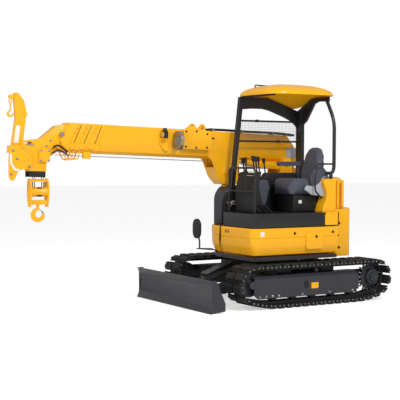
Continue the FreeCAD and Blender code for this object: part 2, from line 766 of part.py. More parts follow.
LEFT_PLAN = [
    ("nose_x", "seam_y + seam_gap"), ("nose_x", "left_y - 60"), ("nose_x - 70", "left_y"),
    ("skirt_rear", "left_y"), ("skirt_rear", "seam_y + seam_gap"),
]
RIGHT_PLAN = [
    ("nose_x", "seam_y"), ("skirt_rear", "seam_y"), ("skirt_rear", "right_y"), ("290", "right_y"),
    ("775", "-430"), ("905", "-250"), ("970", "-70"),
]
PLINTHS = {
    "skirt_left": [
        ("nose_x - plinth_inset", "seam_y + seam_gap"),
        ("nose_x - plinth_inset", "left_y - 60 - plinth_inset"),
        ("nose_x - 70", "left_y - plinth_inset"), ("skirt_rear", "left_y - plinth_inset"),
        ("skirt_rear", "seam_y + seam_gap"),
    ],
    "skirt_right": [
        ("nose_x - plinth_inset", "seam_y"), ("skirt_rear", "seam_y"),
        ("skirt_rear", "right_y + 40 + plinth_inset"), ("250", "right_y + 40 + plinth_inset"),
        ("720", "-400"), ("850", "-230"), ("925", "-60"),
    ],
}
for name, plan in (("skirt_left", LEFT_PLAN), ("skirt_right", RIGHT_PLAN)):
    panel = new_body(name)
    pad(panel, "XY_Plane", "skirt_low/2 + skirt_top/2", "skirt_top - skirt_low", plan)
    plinth = PLINTHS[name]
    pad(panel, "XY_Plane", "skirt_low/2 + deck_low/2 + deck_thick/2 + seat_gap/2",
        "skirt_low - deck_low - deck_thick - seat_gap", plinth)

cheek_slot = [
    ("-700", "boom_y - boom_half - cheek_gap - cheek_thick - 10"),
    ("270", "boom_y - boom_half - cheek_gap - cheek_thick - 10"),
    ("270", "boom_y + boom_half + cheek_gap + cheek_thick + 10"),
    ("-700", "boom_y + boom_half + cheek_gap + cheek_thick + 10"),
]
pocket(panel, "XY_Plane", "skirt_low/2 + skirt_top/2", "900", cheek_slot)

door = new_body("fuel_door")
pad(door, "XZ_Plane", "left_y + seat_gap + 7", "14",
    [("-130", "740"), ("150", "740"), ("150", "965"), ("-130", "965")])
soften(door, "35", along(Vector(0, 1, 0)))

floor = new_body("floor")
pad(floor, "XY_Plane", "skirt_top/2 + seat_gap/2 + floor_top/2", "floor_top - skirt_top - seat_gap",
    [("nose_x - floor_inset", "seam_y + 20"), ("nose_x - floor_inset", "left_y - 90"),
     ("nose_x - floor_inset - 60", "left_y - floor_inset"), ("floor_rear", "left_y - floor_inset"),
     ("floor_rear", "floor_right"), ("nose_x - 170", "floor_right")])

right = new_body("tank_cover")
pad(right, "XZ_Plane", "right_y/2 - 262", "348",
    [("-380", "skirt_top + seat_gap"), ("250", "skirt_top + seat_gap"), ("200", "1450"),
     ("150", "1500"), ("-330", "1500"), ("-380", "1450")])

cover = new_body("front_cover")
pad(cover, "XZ_Plane", "-285", "430",
    [("440", "skirt_top + seat_gap"), ("868", "skirt_top + seat_gap"), ("868", "1340"),
     ("845", "1430"), ("800", "1500"), ("740", "cover_top - 22"), ("680", "cover_top"),
     ("440", "cover_top")])
pocket(cover, "XY_Plane", "1300", "700",
       [("700", "-600"), ("740", "-510"), ("860", "-270"), ("900", "-250"), ("900", "-600")])
pocket(cover, "XZ_Plane", "boom_y", "2*derrick_barrel_radius + 24",
       [("400", "1180"), ("560", "1320"), ("700", "1500"), ("700", "1600"), ("400", "1600")])

# Boom: five nested tubes in the boom's own frame, turned up by its resting angle

BOOM_PLACE = Placement(
    Vector(size("pivot_x"), size("boom_y"), size("pivot_z")),
    Rotation(Vector(0, -1, 0), size("rest_angle")),
)


def section(inset):
    """Section of a tube, flat on top and folded inwards below, as (y, z) corners."""
    top = size("boom_top") - inset
    half = size("boom_half") - inset
    lower = size("boom_half_lower") - inset
    bottom = size("boom_half_bottom") - inset * 0.6
    crease = size("boom_crease")
    fold = size("boom_lower") + inset * 0.6
    low = size("boom_bottom") + inset
    return [
        (-half, top), (half, top), (half, crease), (lower, fold), (bottom, low),
        (-bottom, low), (-lower, fold), (-half, crease),
    ]


def tube(inset, wall, start, end):
    outer = plate(section(inset), start, end, "x")
    return outer.cut(plate(section(inset + wall), start - 1, end + 1, "x"))


def slanted(shape, tip):
    """Cut the front end back from its foremost point at the crease."""
    crease = size("boom_crease") + 40
    slant = size("collar_slant")
    back = size("collar_back")
    behind = tip - size("2*base_front")
    below, above = size("-boom_top/2"), size("boom_top*1.5")
    keep = plate(
        [(behind, below), (tip - back, below), (tip - back, size("boom_bottom")), (tip, crease),
         (tip - slant, size("boom_top")), (tip - slant, above), (behind, above)],
        size("-2*boom_half"), size("2*boom_half"))
    return shape.common(keep)


def boom_tube(index):
    """Tube number index, 0 for the base, with its front collar flush with the base."""
    step = size("tube_step")
    wall = size("boom_wall")
    inset = index * step
    tip = size("base_front") + index * size("collar_pitch")
    start = 60 + index * 30
    body = tube(inset, wall, start, tip - 20)
    rear = tip - size("collar_pitch") + size("seat_gap") if index else tip - size("collar_length")
    if index:
        ring = tube(0, inset + wall, rear - size("collar_slant"), tip)
        ring = ring.common(slanted(ring, tip)).cut(slanted(ring, tip - size("collar_pitch")
                                                           + size("seat_gap")))
        return slanted(body, tip).fuse(ring)
    return slanted(tube(inset, wall, start, tip), tip)


def boom_base():
    half = size("boom_half")
    wall = size("boom_wall")
    shell = boom_tube(0)
    rear_profile = [
        (830, 26), (510, -55), (350, -80), (-60, -84), (-130, -60), (-180, -10), (-200, 60),
        (-200, 170), (-140, 247), (0, "boom_top"), (70, "boom_top"), (70, 26),
    ]
    rear = plate(rear_profile, -half, half)
    inside = plate([(900, 40), (500, -40), (350, -64), (60, -64), (60, 380), (900, 380)],
                   -size("boom_half_bottom"), size("boom_half_bottom"))
    cavity = plate(section(wall), 60, 900, "x")
    rear = rear.cut(cavity).cut(inside)
    hole = rod((0, -half - 1, 0), (0, half + 1, 0), size("pivot_pin") + 0.3)
    cheek = size("bracket_cheek")
    bracket_profile = [
        (796, 30), (783, "bracket_low + 12"), (1025, "bracket_low"), (1130, -220), (1230, -5),
        (1300, 60), (1300, 142), (796, 142),
    ]
    block = plate(bracket_profile, -half, half)
    room = plate([(700, -600), (1400, -600), (1400, 600), (700, 600)], -half + cheek, half - cheek)
    cheeks = block.cut(room)
    front_web = plate([(1025, "bracket_low"), (1130, -220), (1190, -90), (1172, -84),
                       (1112, -212), (1015, "bracket_low + 12")], -half + 1, half - 1)
    eye_half = size("derrick_eye_half + seat_gap")
    lug_profile = [
        (850, 26), ("rod_eye_x - 75", "rod_eye_z"), ("rod_eye_x - 45", "rod_eye_z - 62"),
        ("rod_eye_x + 45", "rod_eye_z - 62"), ("rod_eye_x + 75", "rod_eye_z"), (1180, 26),
    ]
    lugs = [plate(lug_profile, eye_half, eye_half + 16),
            plate(lug_profile, -eye_half - 16, -eye_half)]
    side_pins = [rod(("rod_eye_x", way * eye_half, "rod_eye_z"),
                     ("rod_eye_x", way * (half + 6), "rod_eye_z"), 28) for way in (1, -1)]
    cavity_clear = plate(section(wall), 600, 1500, "x")
    extras = joined([cheeks.cut(cavity_clear)] + [lug.cut(cavity_clear) for lug in lugs]
                    + [front_web] + side_pins)
    eyes = []
    for y in (-118, 104):
        ear = plate([(1330, 399), (1455, 399), (1420, 440), (1400, 448), (1376, 440)], y, y + 14)
        eyes.append(ear.cut(rod((1398, y - 1, 424), (1398, y + 15, 424), 12)))
    return joined([shell, rear.cut(hole), extras] + eyes)


piece("boom_base", boom_base(), BOOM_PLACE)
for index in (1, 2, 3):
    piece("boom_tube_%d" % (index + 1), boom_tube(index), BOOM_PLACE)


def boom_head():
    """Fifth tube with the nose plates and the sheave box welded to it."""
    inner = boom_tube(4)
    half = size("nose_half")
    nose_profile = [
        (3350, 366), (3414, 372), ("head_top_x", 352), (3690, 184), (3935, 148), (3962, 118),
        (3962, 60), (3975, -40), (3965, -110), (3930, -148), (3880, -150), (3850, -120),
        ("head_front", "head_low"), ("head_rear", "head_low"), ("head_rear", -60), (3560, -20),
        (3480, 30), (3350, 80),
    ]
    nose = plate(nose_profile, -half, half)
    tube_half = size("boom_half") - 4 * size("tube_step")
    neck = plate([(3350, 372), (3414, 372), ("head_top_x", 352), (3600, 255), (3560, 110),
                  (3480, 80), (3350, 80)], -tube_half, tube_half)
    slot_half = size("nose_slot")
    well = plate([(3500, -400), (3500, -48), (3800, -48), (3800, -400)], -slot_half, slot_half)
    nose = nose.fuse(neck).cut(well)
    tip_slot = plate([(3830, 110), (3910, 110), (3922, 122), (3910, 134), (3830, 134), (3818, 122)],
                     -half - 1, half + 1)
    pin_hole = rod(("arm_pivot_x", -half - 1, "arm_pivot_z"), ("arm_pivot_x", half + 1, "arm_pivot_z"),
                   26.3)
    nose = nose.cut(tip_slot).cut(pin_hole)
    return inner.fuse(nose)


piece("boom_head", boom_head(), BOOM_PLACE)
bumper_high = size("head_low - seat_gap")
bumper = []
for way in (1, -1):
    low_y, high_y = sorted((way * size("nose_slot + 1"), way * size("nose_half")))
    bumper.append(plate([("head_rear + 8", bumper_high), ("head_front - 8", bumper_high),
                         ("head_front - 8", "head_low - bumper_depth + 10"),
                         ("head_rear + 8", "head_low - bumper_depth + 10")], low_y, high_y))
loose_piece("head_bumpers", Part.makeCompound(bumper), BOOM_PLACE)

# Head sheaves: two grooved wheels on one pin, which carry the rope falls


def on_boom(x, z):
    """World (x, z) of a point given along and above the boom."""
    spot = BOOM_PLACE.multVec(Vector(size(x), 0, size(z)))
    return spot.x, spot.z


sheave_x, sheave_z = on_boom("sheave_x", "sheave_z")


def grooved_wheel(x, z, middle, radius, width):
    half = width / 2
    rim = [(0, -half), (radius, -half), (radius, -half * 0.6), (radius - 12, 0),
           (radius, half * 0.6), (radius, half), (0, half)]
    points = [Vector(reach, level, 0) for reach, level in rim]
    face = Part.Face(Part.makePolygon(points + points[:1]))
    wheel = face.revolve(Vector(0, 0, 0), Vector(0, 1, 0), 360)
    wheel.translate(Vector(x, middle, z))
    return wheel


def head_sheaves():
    centre = size("boom_y")
    shapes = []
    for shift in (-26, 26):
        shapes.append(grooved_wheel(sheave_x, sheave_z, centre + shift, size("sheave_radius"), 44))
    half = size("nose_slot - seat_gap")
    shapes.append(Part.makeCylinder(22, 2 * half, Vector(sheave_x, centre - half, sheave_z),
                                    Vector(0, 1, 0)))
    return joined(shapes)


piece("head_sheaves", head_sheaves())

# Derrick cylinder between the deck and the boom bracket

eye_x, eye_z = on_boom("rod_eye_x", "rod_eye_z")
barrel, ram_rod = ram((eye_x, eye_z), (size("derrick_x"), size("derrick_z")),
                      size("derrick_barrel_radius"), size("derrick_rod_radius"),
                      size("derrick_eye_half"), size("boom_y"), size("eye_radius"),
                      size("foot_radius + 14"), 0.86, 0)
piece("derrick_barrel", barrel)
piece("derrick_rod", ram_rod)

# Winch drum between the boom foot cheeks


def winch_drum():
    centre = size("boom_y")
    half = size("boom_half + cheek_gap - seat_gap")
    x, z = size("winch_x"), size("winch_z")
    across = Vector(0, 1, 0)
    shapes = [Part.makeCylinder(78, 2 * half - 60, Vector(x, centre - half + 30, z), across),
              Part.makeCylinder(34, 2 * half, Vector(x, centre - half, z), across)]
    for start in (centre - half + 22, centre + half - 34):
        shapes.append(Part.makeCylinder(118, 12, Vector(x, start, z), across))
    return joined(shapes)


piece("winch_drum", winch_drum())

# Hook block hanging on the falls, and its swivel hook


def hook_block():
    centre = size("boom_y")
    top = sheave_z - size("block_drop")
    low = top - size("block_height")
    half = size("block_half")
    side = size("block_side")
    shapes = []
    for way in (1, -1):
        low_x, high_x = sorted((sheave_x + way * half, sheave_x + way * (half - 18)))
        outline_points = [
            (centre - side * 0.55, top), (centre + side * 0.55, top), (centre + side, top - 60),
            (centre + side, top - 230), (centre + side * 0.45, low), (centre - side * 0.45, low),
            (centre - side, top - 230), (centre - side, top - 60),
        ]
        shapes.append(plate(outline_points, low_x, high_x, "x"))
    inner = half - 17
    shapes.append(Part.makeCylinder(side * 0.94, 2 * inner, Vector(sheave_x - inner, centre, top - 165),
                                    Vector(1, 0, 0)))
    shapes.append(Part.makeBox(2 * inner, 76, 34, Vector(sheave_x - inner, centre - 38, top - 40)))
    shapes.append(Part.makeBox(2 * inner, 70, 58, Vector(sheave_x - inner, centre - 35,
                                                     low + size("trunnion_lift"))))
    shapes.append(Part.makeCylinder(26, 2 * half + 22, Vector(sheave_x - half - 11, centre, top - 165),
                                    Vector(1, 0, 0)))
    return joined(shapes)


piece("hook_block", hook_block())


def rope_falls():
    """Four straight parts of rope between the head sheaves and the block."""
    high = sheave_z - size("fall_top")
    low = sheave_z - size("block_drop + 6 - seat_gap")
    falls = []
    for x_way in (1, -1):
        for y_way in (1, -1):
            spot = Vector(sheave_x + x_way * size("fall_x"), size("boom_y") + y_way * size("fall_y"), low)
            falls.append(Part.makeCylinder(size("fall_radius"), high - low, spot))
    return Part.makeCompound(falls)


loose_piece("rope_falls", rope_falls())


def swept(points, radius):
    """Round bar swept along an arc through three points."""
    arc = Part.Arc(*points)
    heading = arc.tangent(arc.FirstParameter)[0]
    ring = Part.Wire(Part.Circle(points[0], heading, radius).toShape())
    return Part.Wire(arc.toShape()).makePipeShell([ring], True, True)


def around(centre, radius, angle):
    """Point of an upright circle at an angle from +X towards +Z."""
    turn = math.radians(angle)
    return centre + Vector(math.cos(turn), 0, math.sin(turn)) * radius


def hook():
    top = sheave_z - size("block_drop + block_height - trunnion_lift + seat_gap")
    bowl = size("hook_bowl")
    thick = size("hook_thick")
    middle = Vector(sheave_x, size("boom_y"), top - size("hook_drop") + bowl + thick)
    bend = swept([around(middle, bowl, angle) for angle in (90, -50, -190)], thick)
    neck = Vector(middle.x, middle.y, middle.z + bowl - thick)
    shank = Part.makeCylinder(thick, top - neck.z, neck)
    return joined([bend, shank])


piece("hook", hook())

# Searcher arm: a fork round the nose with a box arm above it, and its small hook


def searcher_arm():
    inner = size("nose_half + fork_gap")
    outer = inner + size("fork_cheek")
    cheek_profile = [
        ("arm_pivot_x + 70", 60), ("arm_pivot_x + 208", 60), ("arm_pivot_x + 222", -40),
        ("arm_pivot_x + 215", -290), ("arm_pivot_x + 190", -345), ("arm_pivot_x + 150", -345),
        ("arm_pivot_x + 122", -300), ("arm_pivot_x + 100", -240), ("arm_pivot_x + 40", -205),
        ("arm_pivot_x - 60", -195), ("arm_pivot_x - 90", -140), ("arm_pivot_x - 60", -20),
    ]
    shapes = []
    for way in (1, -1):
        low_y, high_y = sorted((way * inner, way * outer))
        cheek = plate(cheek_profile, low_y, high_y)
        cheek = cheek.cut(rod(("arm_pivot_x + 168", low_y - 1, -304),
                              ("arm_pivot_x + 168", high_y + 1, -304), 18))
        shapes.append(cheek)
    box_profile = [
        ("arm_pivot_x + 74", 40), ("arm_pivot_x + 208", 40), ("arm_pivot_x + 172", 480),
        ("arm_pivot_x + 150", 640), ("arm_pivot_x + 185", 700), ("arm_pivot_x + 180", 750),
        ("arm_pivot_x + 140", 765), ("arm_pivot_x + 90", 740), ("arm_pivot_x + 40", 640),
        ("arm_pivot_x + 30", 480),
    ]
    beam = plate(box_profile, -outer, outer)
    trim = plate([("arm_pivot_x", 200), ("arm_pivot_x + 300", 200), ("arm_pivot_x + 300", 900),
                  ("arm_pivot_x", 900)], outer - 34, outer + 1)
    other = plate([("arm_pivot_x", 200), ("arm_pivot_x + 300", 200), ("arm_pivot_x + 300", 900),
                   ("arm_pivot_x", 900)], -outer - 1, -outer + 34)
    shapes.append(beam.cut(trim).cut(other))
    pin = rod(("arm_pivot_x", -outer - 8, "arm_pivot_z"), ("arm_pivot_x", outer + 8, "arm_pivot_z"), 26)
    shapes.append(pin)
    return joined(shapes)


piece("searcher_arm", searcher_arm(), BOOM_PLACE)


def searcher_hook():
    x, z = on_boom("arm_pivot_x + 224", "700")
    link = Part.makeTorus(24, 8, Vector(x, size("boom_y"), z - 10), Vector(0, 1, 0))
    shank = Part.makeCylinder(13, 70, Vector(x, size("boom_y"), z - 100))
    middle = Vector(x, size("boom_y"), z - 140)
    bend = swept([around(middle, 44, angle) for angle in (90, -50, -190)], 13)
    return joined([link, shank, bend])


piece("searcher_hook", searcher_hook())


def cord_reel():
    drum = rod((1590, 130.3, 325), (1590, 196, 325), 96)
    rim_a = rod((1590, 130.3, 325), (1590, 138, 325), 122)
    rim_b = rod((1590, 188, 325), (1590, 196, 325), 122)
    cover_plate = plate([(1300, 140), (1740, 140), (1740, 395), (1330, 395), (1300, 360)], 196, 208)
    stays = [rod((x, 130.3, 372), (x, 197, 372), 10) for x in (1330 + 30, 1710)]
    return joined([drum, rim_a, rim_b, cover_plate] + stays)


piece("cord_reel", cord_reel(), BOOM_PLACE)

# Operator's station: seat, consoles, guards and canopy

seat_base = new_body("seat_base")
pad(seat_base, "XY_Plane", "floor_top + seat_gap + 115", "230",
    [("seat_x - 200", "seat_y - 200"), ("seat_x + 190", "seat_y - 200"),
     ("seat_x + 190", "seat_y + 200"), ("seat_x - 200", "seat_y + 200")])
cushion = new_body("seat_cushion")
pad(cushion, "XY_Plane", "floor_top + 2*seat_gap + 230 + 110", "220",
    [("seat_x - 200", "seat_y - seat_half"), ("seat_x + 270", "seat_y - seat_half"),
     ("seat_x + 270", "seat_y + seat_half"), ("seat_x - 200", "seat_y + seat_half")])
soften(cushion, "45", along(Vector(0, 1, 0)))
back = new_body("seat_back")
pad(back, "XZ_Plane", "seat_y", "2*seat_half - 20",
    [("seat_x - 200.3", "1560"), ("seat_x - 330", "1560"), ("seat_x - 400", "2080"),
     ("seat_x - 370", "2130"), ("seat_x - 320", "2130"), ("seat_x - 285", "2080"),
     ("seat_x - 200.3", "1720")])

console = new_body("side_console")
pad(console, "XZ_Plane", "70", "100",
    [("-330", "floor_top + seat_gap"), ("380", "floor_top + seat_gap"), ("380", "1560"),
     ("250", "1735"), ("-330", "1735")])
front_console = new_body("front_console")
pad(front_console, "XZ_Plane", "300", "420",
    [("560", "floor_top + seat_gap"), ("740", "floor_top + seat_gap"), ("740", "1560"),
     ("690", "1740"), ("600", "1760"), ("640", "1560")])

guard_z = size("floor_top + seat_gap")
guard = bent_tube([(830, 30, guard_z), (830, 30, 1800), (830, 610, 1800), (830, 610, guard_z)], 13, 60)
shelf = bent_tube([(830, 34, 1245), (800, 60, 1245), (800, 590, 1245), (830, 606, 1245)], 9, 14)
piece("front_guard", joined([guard, shelf]))


def canopy_frame():
    right_y, left_y = size("post_right_y"), size("post_left_y")
    rear = size("post_rear_x")
    base = size("floor_top + seat_gap")
    half = 30
    lip = size("roof_lip - 4")
    wall_gap = size("roof_wall + seat_gap")
    shapes = [
        plate([(750, base), (810, base), (624, lip), (564, lip)], right_y - 26, right_y + 26),
        plate([(rear - 46, base), (rear + 46, base), (rear + 46, lip), (rear - 46, lip)],
              right_y - half, right_y + half),
        plate([(rear - 40, lip - 170), (rear + 240, lip - 60), (600, lip - 60), (600, lip),
               (rear - 40, lip)], right_y - 18, right_y + 18),
        plate([(right_y, lip - 200), (right_y + 180, lip - 70), (left_y - 160, lip - 60),
               (left_y, lip - 60), (left_y, lip), (right_y, lip)], rear - 18, rear + 18, "x"),
        bent_tube([(rear + 90, left_y, lip - 20), (rear + 30, left_y, 2450),
                   (rear + 30, left_y, 1600)], 24, 70),
    ]
    foot = plate([(rear - 44, left_y - 90), (rear + 44, left_y - 90), (rear + 44, left_y + 30),
                  (rear - 44, left_y + 30)], base, 1720, "z")
    shapes.append(foot)
    for low_x in (-290, 460):
        low_y, high_y = size("roof_right") + wall_gap, size("roof_left") - wall_gap
        shapes.append(plate([(low_y, lip - 1), (high_y, lip - 1), (high_y, lip + 36), (low_y, lip + 36)],
                            low_x, low_x + 30, "x"))
    shapes.append(plate([(rear - 18, lip - 60), (480, lip - 60), (480, lip), (rear - 18, lip)],
                        left_y - 60, left_y - 30))
    return joined(shapes)


piece("canopy_frame", canopy_frame())


def canopy_roof():
    front, rear = size("roof_front"), size("roof_rear")
    left, right = size("roof_left"), size("roof_right")
    lip, top = size("roof_lip"), size("roof_top")
    wall = size("roof_wall")
    lip = lip + size("seat_gap")

    def ring(inset, level, radius):
        x1, x2 = rear + inset, front - inset
        y1, y2 = right + inset, left - inset
        spots = [(x1, y1), (x2, y1), (x2, y2), (x1, y2)]
        points = []
        for index, (x, y) in enumerate(spots):
            for turn in (0, 0.5, 1):
                angle = math.pi + (index + turn) * math.pi / 2
                sx = radius if x == x1 else -radius
                sy = radius if y == y1 else -radius
                points.append(Vector(x + sx + radius * math.cos(angle), y + sy
                                     + radius * math.sin(angle), level))
        edges = []
        for index in range(4):
            a, b, c = points[index * 3:index * 3 + 3]
            edges.append(Part.Arc(a, b, c).toShape())
            edges.append(Part.LineSegment(c, points[(index * 3 + 3) % 12]).toShape())
        return Part.Wire(edges)

    outer = Part.makeLoft([ring(0, lip, 150), ring(0, lip + 55, 150), ring(60, top - 30, 120),
                           ring(190, top, 60)], True, True)
    inner = Part.makeLoft([ring(wall, lip - 1, 140), ring(wall, lip + 50, 140),
                           ring(60 + wall, top - 30 - wall, 110),
                           ring(190, top - wall, 60)], True, True)
    return outer.cut(inner)


piece("canopy_roof", canopy_roof())

guard_y = size("post_right_y")
side_bars = []
for z in (2230, 2440):
    post_x = 780 - (z - 1215) * 186 / 1550 - 30
    side_bars.append(rod((post_x - 1.4, guard_y, z), (size("post_rear_x") + 46.3, guard_y, z), 9))
loose_piece("side_guard", Part.makeCompound(side_bars))

rail = bent_tube([(size("post_rear_x") + 60.3, 800, 1860), (-70, 800, 1860), (-50, 800, 1470),
                  (-170, 800, 1390), (-260, 800, 1216 + 0.0)], 12, 40)
span = size("2*roof_top")
above_floor = Part.makeBox(span, span, span, Vector(-span / 2, -span / 2, guard_z))
piece("grab_rail", rail.common(above_floor))

doc.recompute()
mirror_arm = plate([(900, -20), (986, -20), (1080, -240), (1100, -330), (1060, -330), (880, -240)],
                   692, 704, "z").cut(panel.Shape)
stalk = bent_tube([(1060, -310, 700), (1060, -310, 790), (1050, -350, 860), (1050, -350, 930)], 11, 24)
glass = Part.makeCylinder(95, 26, Vector(1066, -350, 930), Vector(1, 0, 0.0))
glass = glass.fuse(Part.makeCylinder(95, 26, Vector(1066, -350, 1010), Vector(1, 0, 0)))
glass = glass.fuse(Part.makeBox(26, 190, 80, Vector(1066, -445, 930)))
mount = Part.makeBox(30, 40, 60, Vector(1040, -370, 900))
piece("mirror", joined([mirror_arm, stalk, glass, mount]))

doc.recompute()


def write_parts():
    os.makedirs("parts", exist_ok=True)
    names = []
    for item in doc.Objects:
        if "Invalid" in item.State or "Error" in item.State:
            raise RuntimeError("failed feature: " + item.Name)
    for item in doc.Objects:
        loose = item.TypeId == "Part::Feature" or item.TypeId == "PartDesign::Body"
        if not loose:
            continue
        shape = item.Shape
        if shape.isNull() or not shape.isValid() or not shape.Solids:
            raise RuntimeError("bad shape: " + item.Label)
        shape.exportStep("parts/" + item.Label + ".step")
        names.append(item.Label)
    print(len(names), "sub-parts written")


write_parts()
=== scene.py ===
import json
import math

import bmesh
import bpy
from mathutils import Matrix, Vector


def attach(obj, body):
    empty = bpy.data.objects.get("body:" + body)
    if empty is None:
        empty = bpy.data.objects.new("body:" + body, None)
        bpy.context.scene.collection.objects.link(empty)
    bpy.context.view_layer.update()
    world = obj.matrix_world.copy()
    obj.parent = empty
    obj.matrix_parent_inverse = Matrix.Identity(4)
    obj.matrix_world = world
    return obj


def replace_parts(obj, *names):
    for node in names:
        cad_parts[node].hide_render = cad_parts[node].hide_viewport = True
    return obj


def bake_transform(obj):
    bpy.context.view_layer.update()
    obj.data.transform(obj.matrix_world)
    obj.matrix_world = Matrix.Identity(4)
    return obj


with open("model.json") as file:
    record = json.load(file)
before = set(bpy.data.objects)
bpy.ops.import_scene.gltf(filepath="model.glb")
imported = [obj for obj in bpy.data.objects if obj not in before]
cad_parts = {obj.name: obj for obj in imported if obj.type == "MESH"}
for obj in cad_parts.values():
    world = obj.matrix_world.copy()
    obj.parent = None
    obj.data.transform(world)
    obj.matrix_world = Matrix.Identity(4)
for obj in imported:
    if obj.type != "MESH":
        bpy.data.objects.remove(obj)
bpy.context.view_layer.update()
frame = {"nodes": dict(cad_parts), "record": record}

# Camera, floor and light: a studio with a pale floor. The camera stands where the
# photograph was taken from, ahead of the machine on its left, at the height of the seat.


def in_scene(name, data):
    """New object, linked into the scene."""
    item = bpy.data.objects.new(name, data)
    bpy.context.scene.collection.objects.link(item)
    return item


def set_inputs(node, values):
    """Sets the named inputs of a shader node."""
    for label, value in values.items():
        node.inputs[label].default_value = value


CAMERA_SPOT = Vector((8.2706, 11.5093, 1.8844))
CAMERA_YAW = math.radians(-121.4)
CAMERA_PITCH = math.radians(-2.162)
CAMERA_ROLL = math.radians(0.217)
SENSOR = 36.0
FOCAL_PIXELS = 1015.4
PICTURE_PIXELS = 400

ahead = Vector((math.cos(CAMERA_YAW) * math.cos(CAMERA_PITCH),
                math.sin(CAMERA_YAW) * math.cos(CAMERA_PITCH), math.sin(CAMERA_PITCH)))
turn = ahead.to_track_quat("-Z", "Y").to_matrix().to_4x4() @ Matrix.Rotation(CAMERA_ROLL, 4, "Z")
camera_data = bpy.data.cameras.new("camera")
camera_data.lens = FOCAL_PIXELS * SENSOR / PICTURE_PIXELS
camera_data.sensor_width = SENSOR
camera_data.clip_end = 100
camera = in_scene("camera", camera_data)
camera.matrix_world = Matrix.Translation(CAMERA_SPOT) @ turn
bpy.context.scene.camera = camera
bpy.context.scene.view_settings.view_transform = "Standard"

WHITE = (1.0, 1.0, 1.0, 1)
WORLD_LIGHT = 0.5
world = bpy.data.worlds.new("studio")
world.use_nodes = True
sky_nodes = world.node_tree.nodes
sky_links = world.node_tree.links
backdrop = sky_nodes.new("ShaderNodeBackground")
for shade, strength in ((backdrop, 1.0), (sky_nodes["Background"], WORLD_LIGHT)):
    set_inputs(shade, {"Color": WHITE, "Strength": strength})
ray = sky_nodes.new("ShaderNodeLightPath")
choice = sky_nodes.new("ShaderNodeMixShader")
sky_links.new(ray.outputs["Is Camera Ray"], choice.inputs[0])
sky_links.new(sky_nodes["Background"].outputs[0], choice.inputs[1])
sky_links.new(backdrop.outputs[0], choice.inputs[2])
sky_links.new(choice.outputs[0], sky_nodes["World Output"].inputs[0])
bpy.context.scene.world = world


def soft_lamp(name, spot, target, power, width):
    """Large square lamp that points at a spot on the machine."""
    data = bpy.data.lights.new(name, "AREA")
    data.energy = power
    data.size = width
    lamp = in_scene(name, data)
    lamp.location = spot
    lamp.rotation_euler = (Vector(target) - Vector(spot)).to_track_quat("-Z", "Y").to_euler()


soft_lamp("key_lamp", (1.0, 9.0, 8.0), (0.6, 0, 1.2), 640, 2.6)
soft_lamp("fill_lamp", (9.0, 2.0, 5.0), (1.0, 0, 1.4), 260, 5.0)

FLOOR_REACH = 60.0
FLOOR_GLOW = {"To Min": 0.12, "To Max": 0.52}
floor_data = bpy.data.meshes.new("studio_floor")
corners = [(x * FLOOR_REACH, y * FLOOR_REACH, 0) for x, y in ((-1, -1), (1, -1), (1, 1), (-1, 1))]
floor_data.from_pydata(corners, [], [(0, 1, 2, 3)])
studio_floor = in_scene("studio_floor", floor_data)
floor_paint = bpy.data.materials.new("floor_paint")
floor_paint.use_nodes = True
floor_nodes = floor_paint.node_tree.nodes
floor_links = floor_paint.node_tree.links
floor_shader = floor_nodes["Principled BSDF"]
set_inputs(floor_shader, {"Base Color": (0.8, 0.8, 0.8, 1), "Roughness": 0.9, "Emission Color": WHITE})
floor_ray = floor_nodes.new("ShaderNodeLightPath")
glow = floor_nodes.new("ShaderNodeMapRange")
set_inputs(glow, FLOOR_GLOW)
floor_links.new(floor_ray.outputs["Is Camera Ray"], glow.inputs["Value"])
floor_links.new(glow.outputs["Result"], floor_shader.inputs["Emission Strength"])
floor_data.materials.append(floor_paint)

# Boom: five nested tubes of welded high-strength sheet, folded inwards below and sprayed
# yellow. They slide in each other on pads, and a pin holds the base tube between cheeks.

DUST = (0.2, 0.17, 0.13)
FLAT = math.radians(0.6)


def painted(name, colour, second, rough, coat, grain=0.015, dust=0.0, metal=0.0):
    """Sprayed paint: faint changes of tone, orange-peel bump and uneven gloss."""
    material = bpy.data.materials.new(name)
    material.use_nodes = True
    nodes = material.node_tree.nodes
    link = material.node_tree.links.new
    shader = nodes["Principled BSDF"]
    place = nodes.new("ShaderNodeTexCoord")

    def noise(scale, detail):
        texture = nodes.new("ShaderNodeTexNoise")
        set_inputs(texture, {"Scale": scale, "Detail": detail})
        link(place.outputs["Object"], texture.inputs["Vector"])
        return texture.outputs["Fac"]

    def mapped(value, limits):
        ramp = nodes.new("ShaderNodeMapRange")
        set_inputs(ramp, limits)
        link(value, ramp.inputs["Value"])
        return ramp.outputs["Result"]

    def mixed(share):
        mix = nodes.new("ShaderNodeMix")
        mix.data_type = "RGBA"
        link(share, mix.inputs["Factor"])
        return mix

    mix = mixed(noise(2.3, 5))
    set_inputs(mix, {"A": (*colour, 1), "B": (*second, 1)})
    tone = mix.outputs["Result"]
    if dust > 0:
        dusty = mixed(mapped(noise(14, 8), {"From Min": 0.5, "From Max": 0.85, "To Max": dust}))
        set_inputs(dusty, {"B": (*DUST, 1)})
        link(tone, dusty.inputs["A"])
        tone = dusty.outputs["Result"]
    link(tone, shader.inputs["Base Color"])
    gloss = mapped(noise(7, 6), {"To Min": rough - 0.06, "To Max": rough + 0.1})
    link(gloss, shader.inputs["Roughness"])
    bump = nodes.new("ShaderNodeBump")
    set_inputs(bump, {"Strength": grain * 10, "Distance": 0.0006})
    link(noise(220, 2), bump.inputs["Height"])
    link(bump.outputs["Normal"], shader.inputs["Normal"])
    set_inputs(shader, {"Coat Weight": coat, "Coat Roughness": 0.12, "Specular IOR Level": 0.35,
                        "Metallic": metal})
    return material


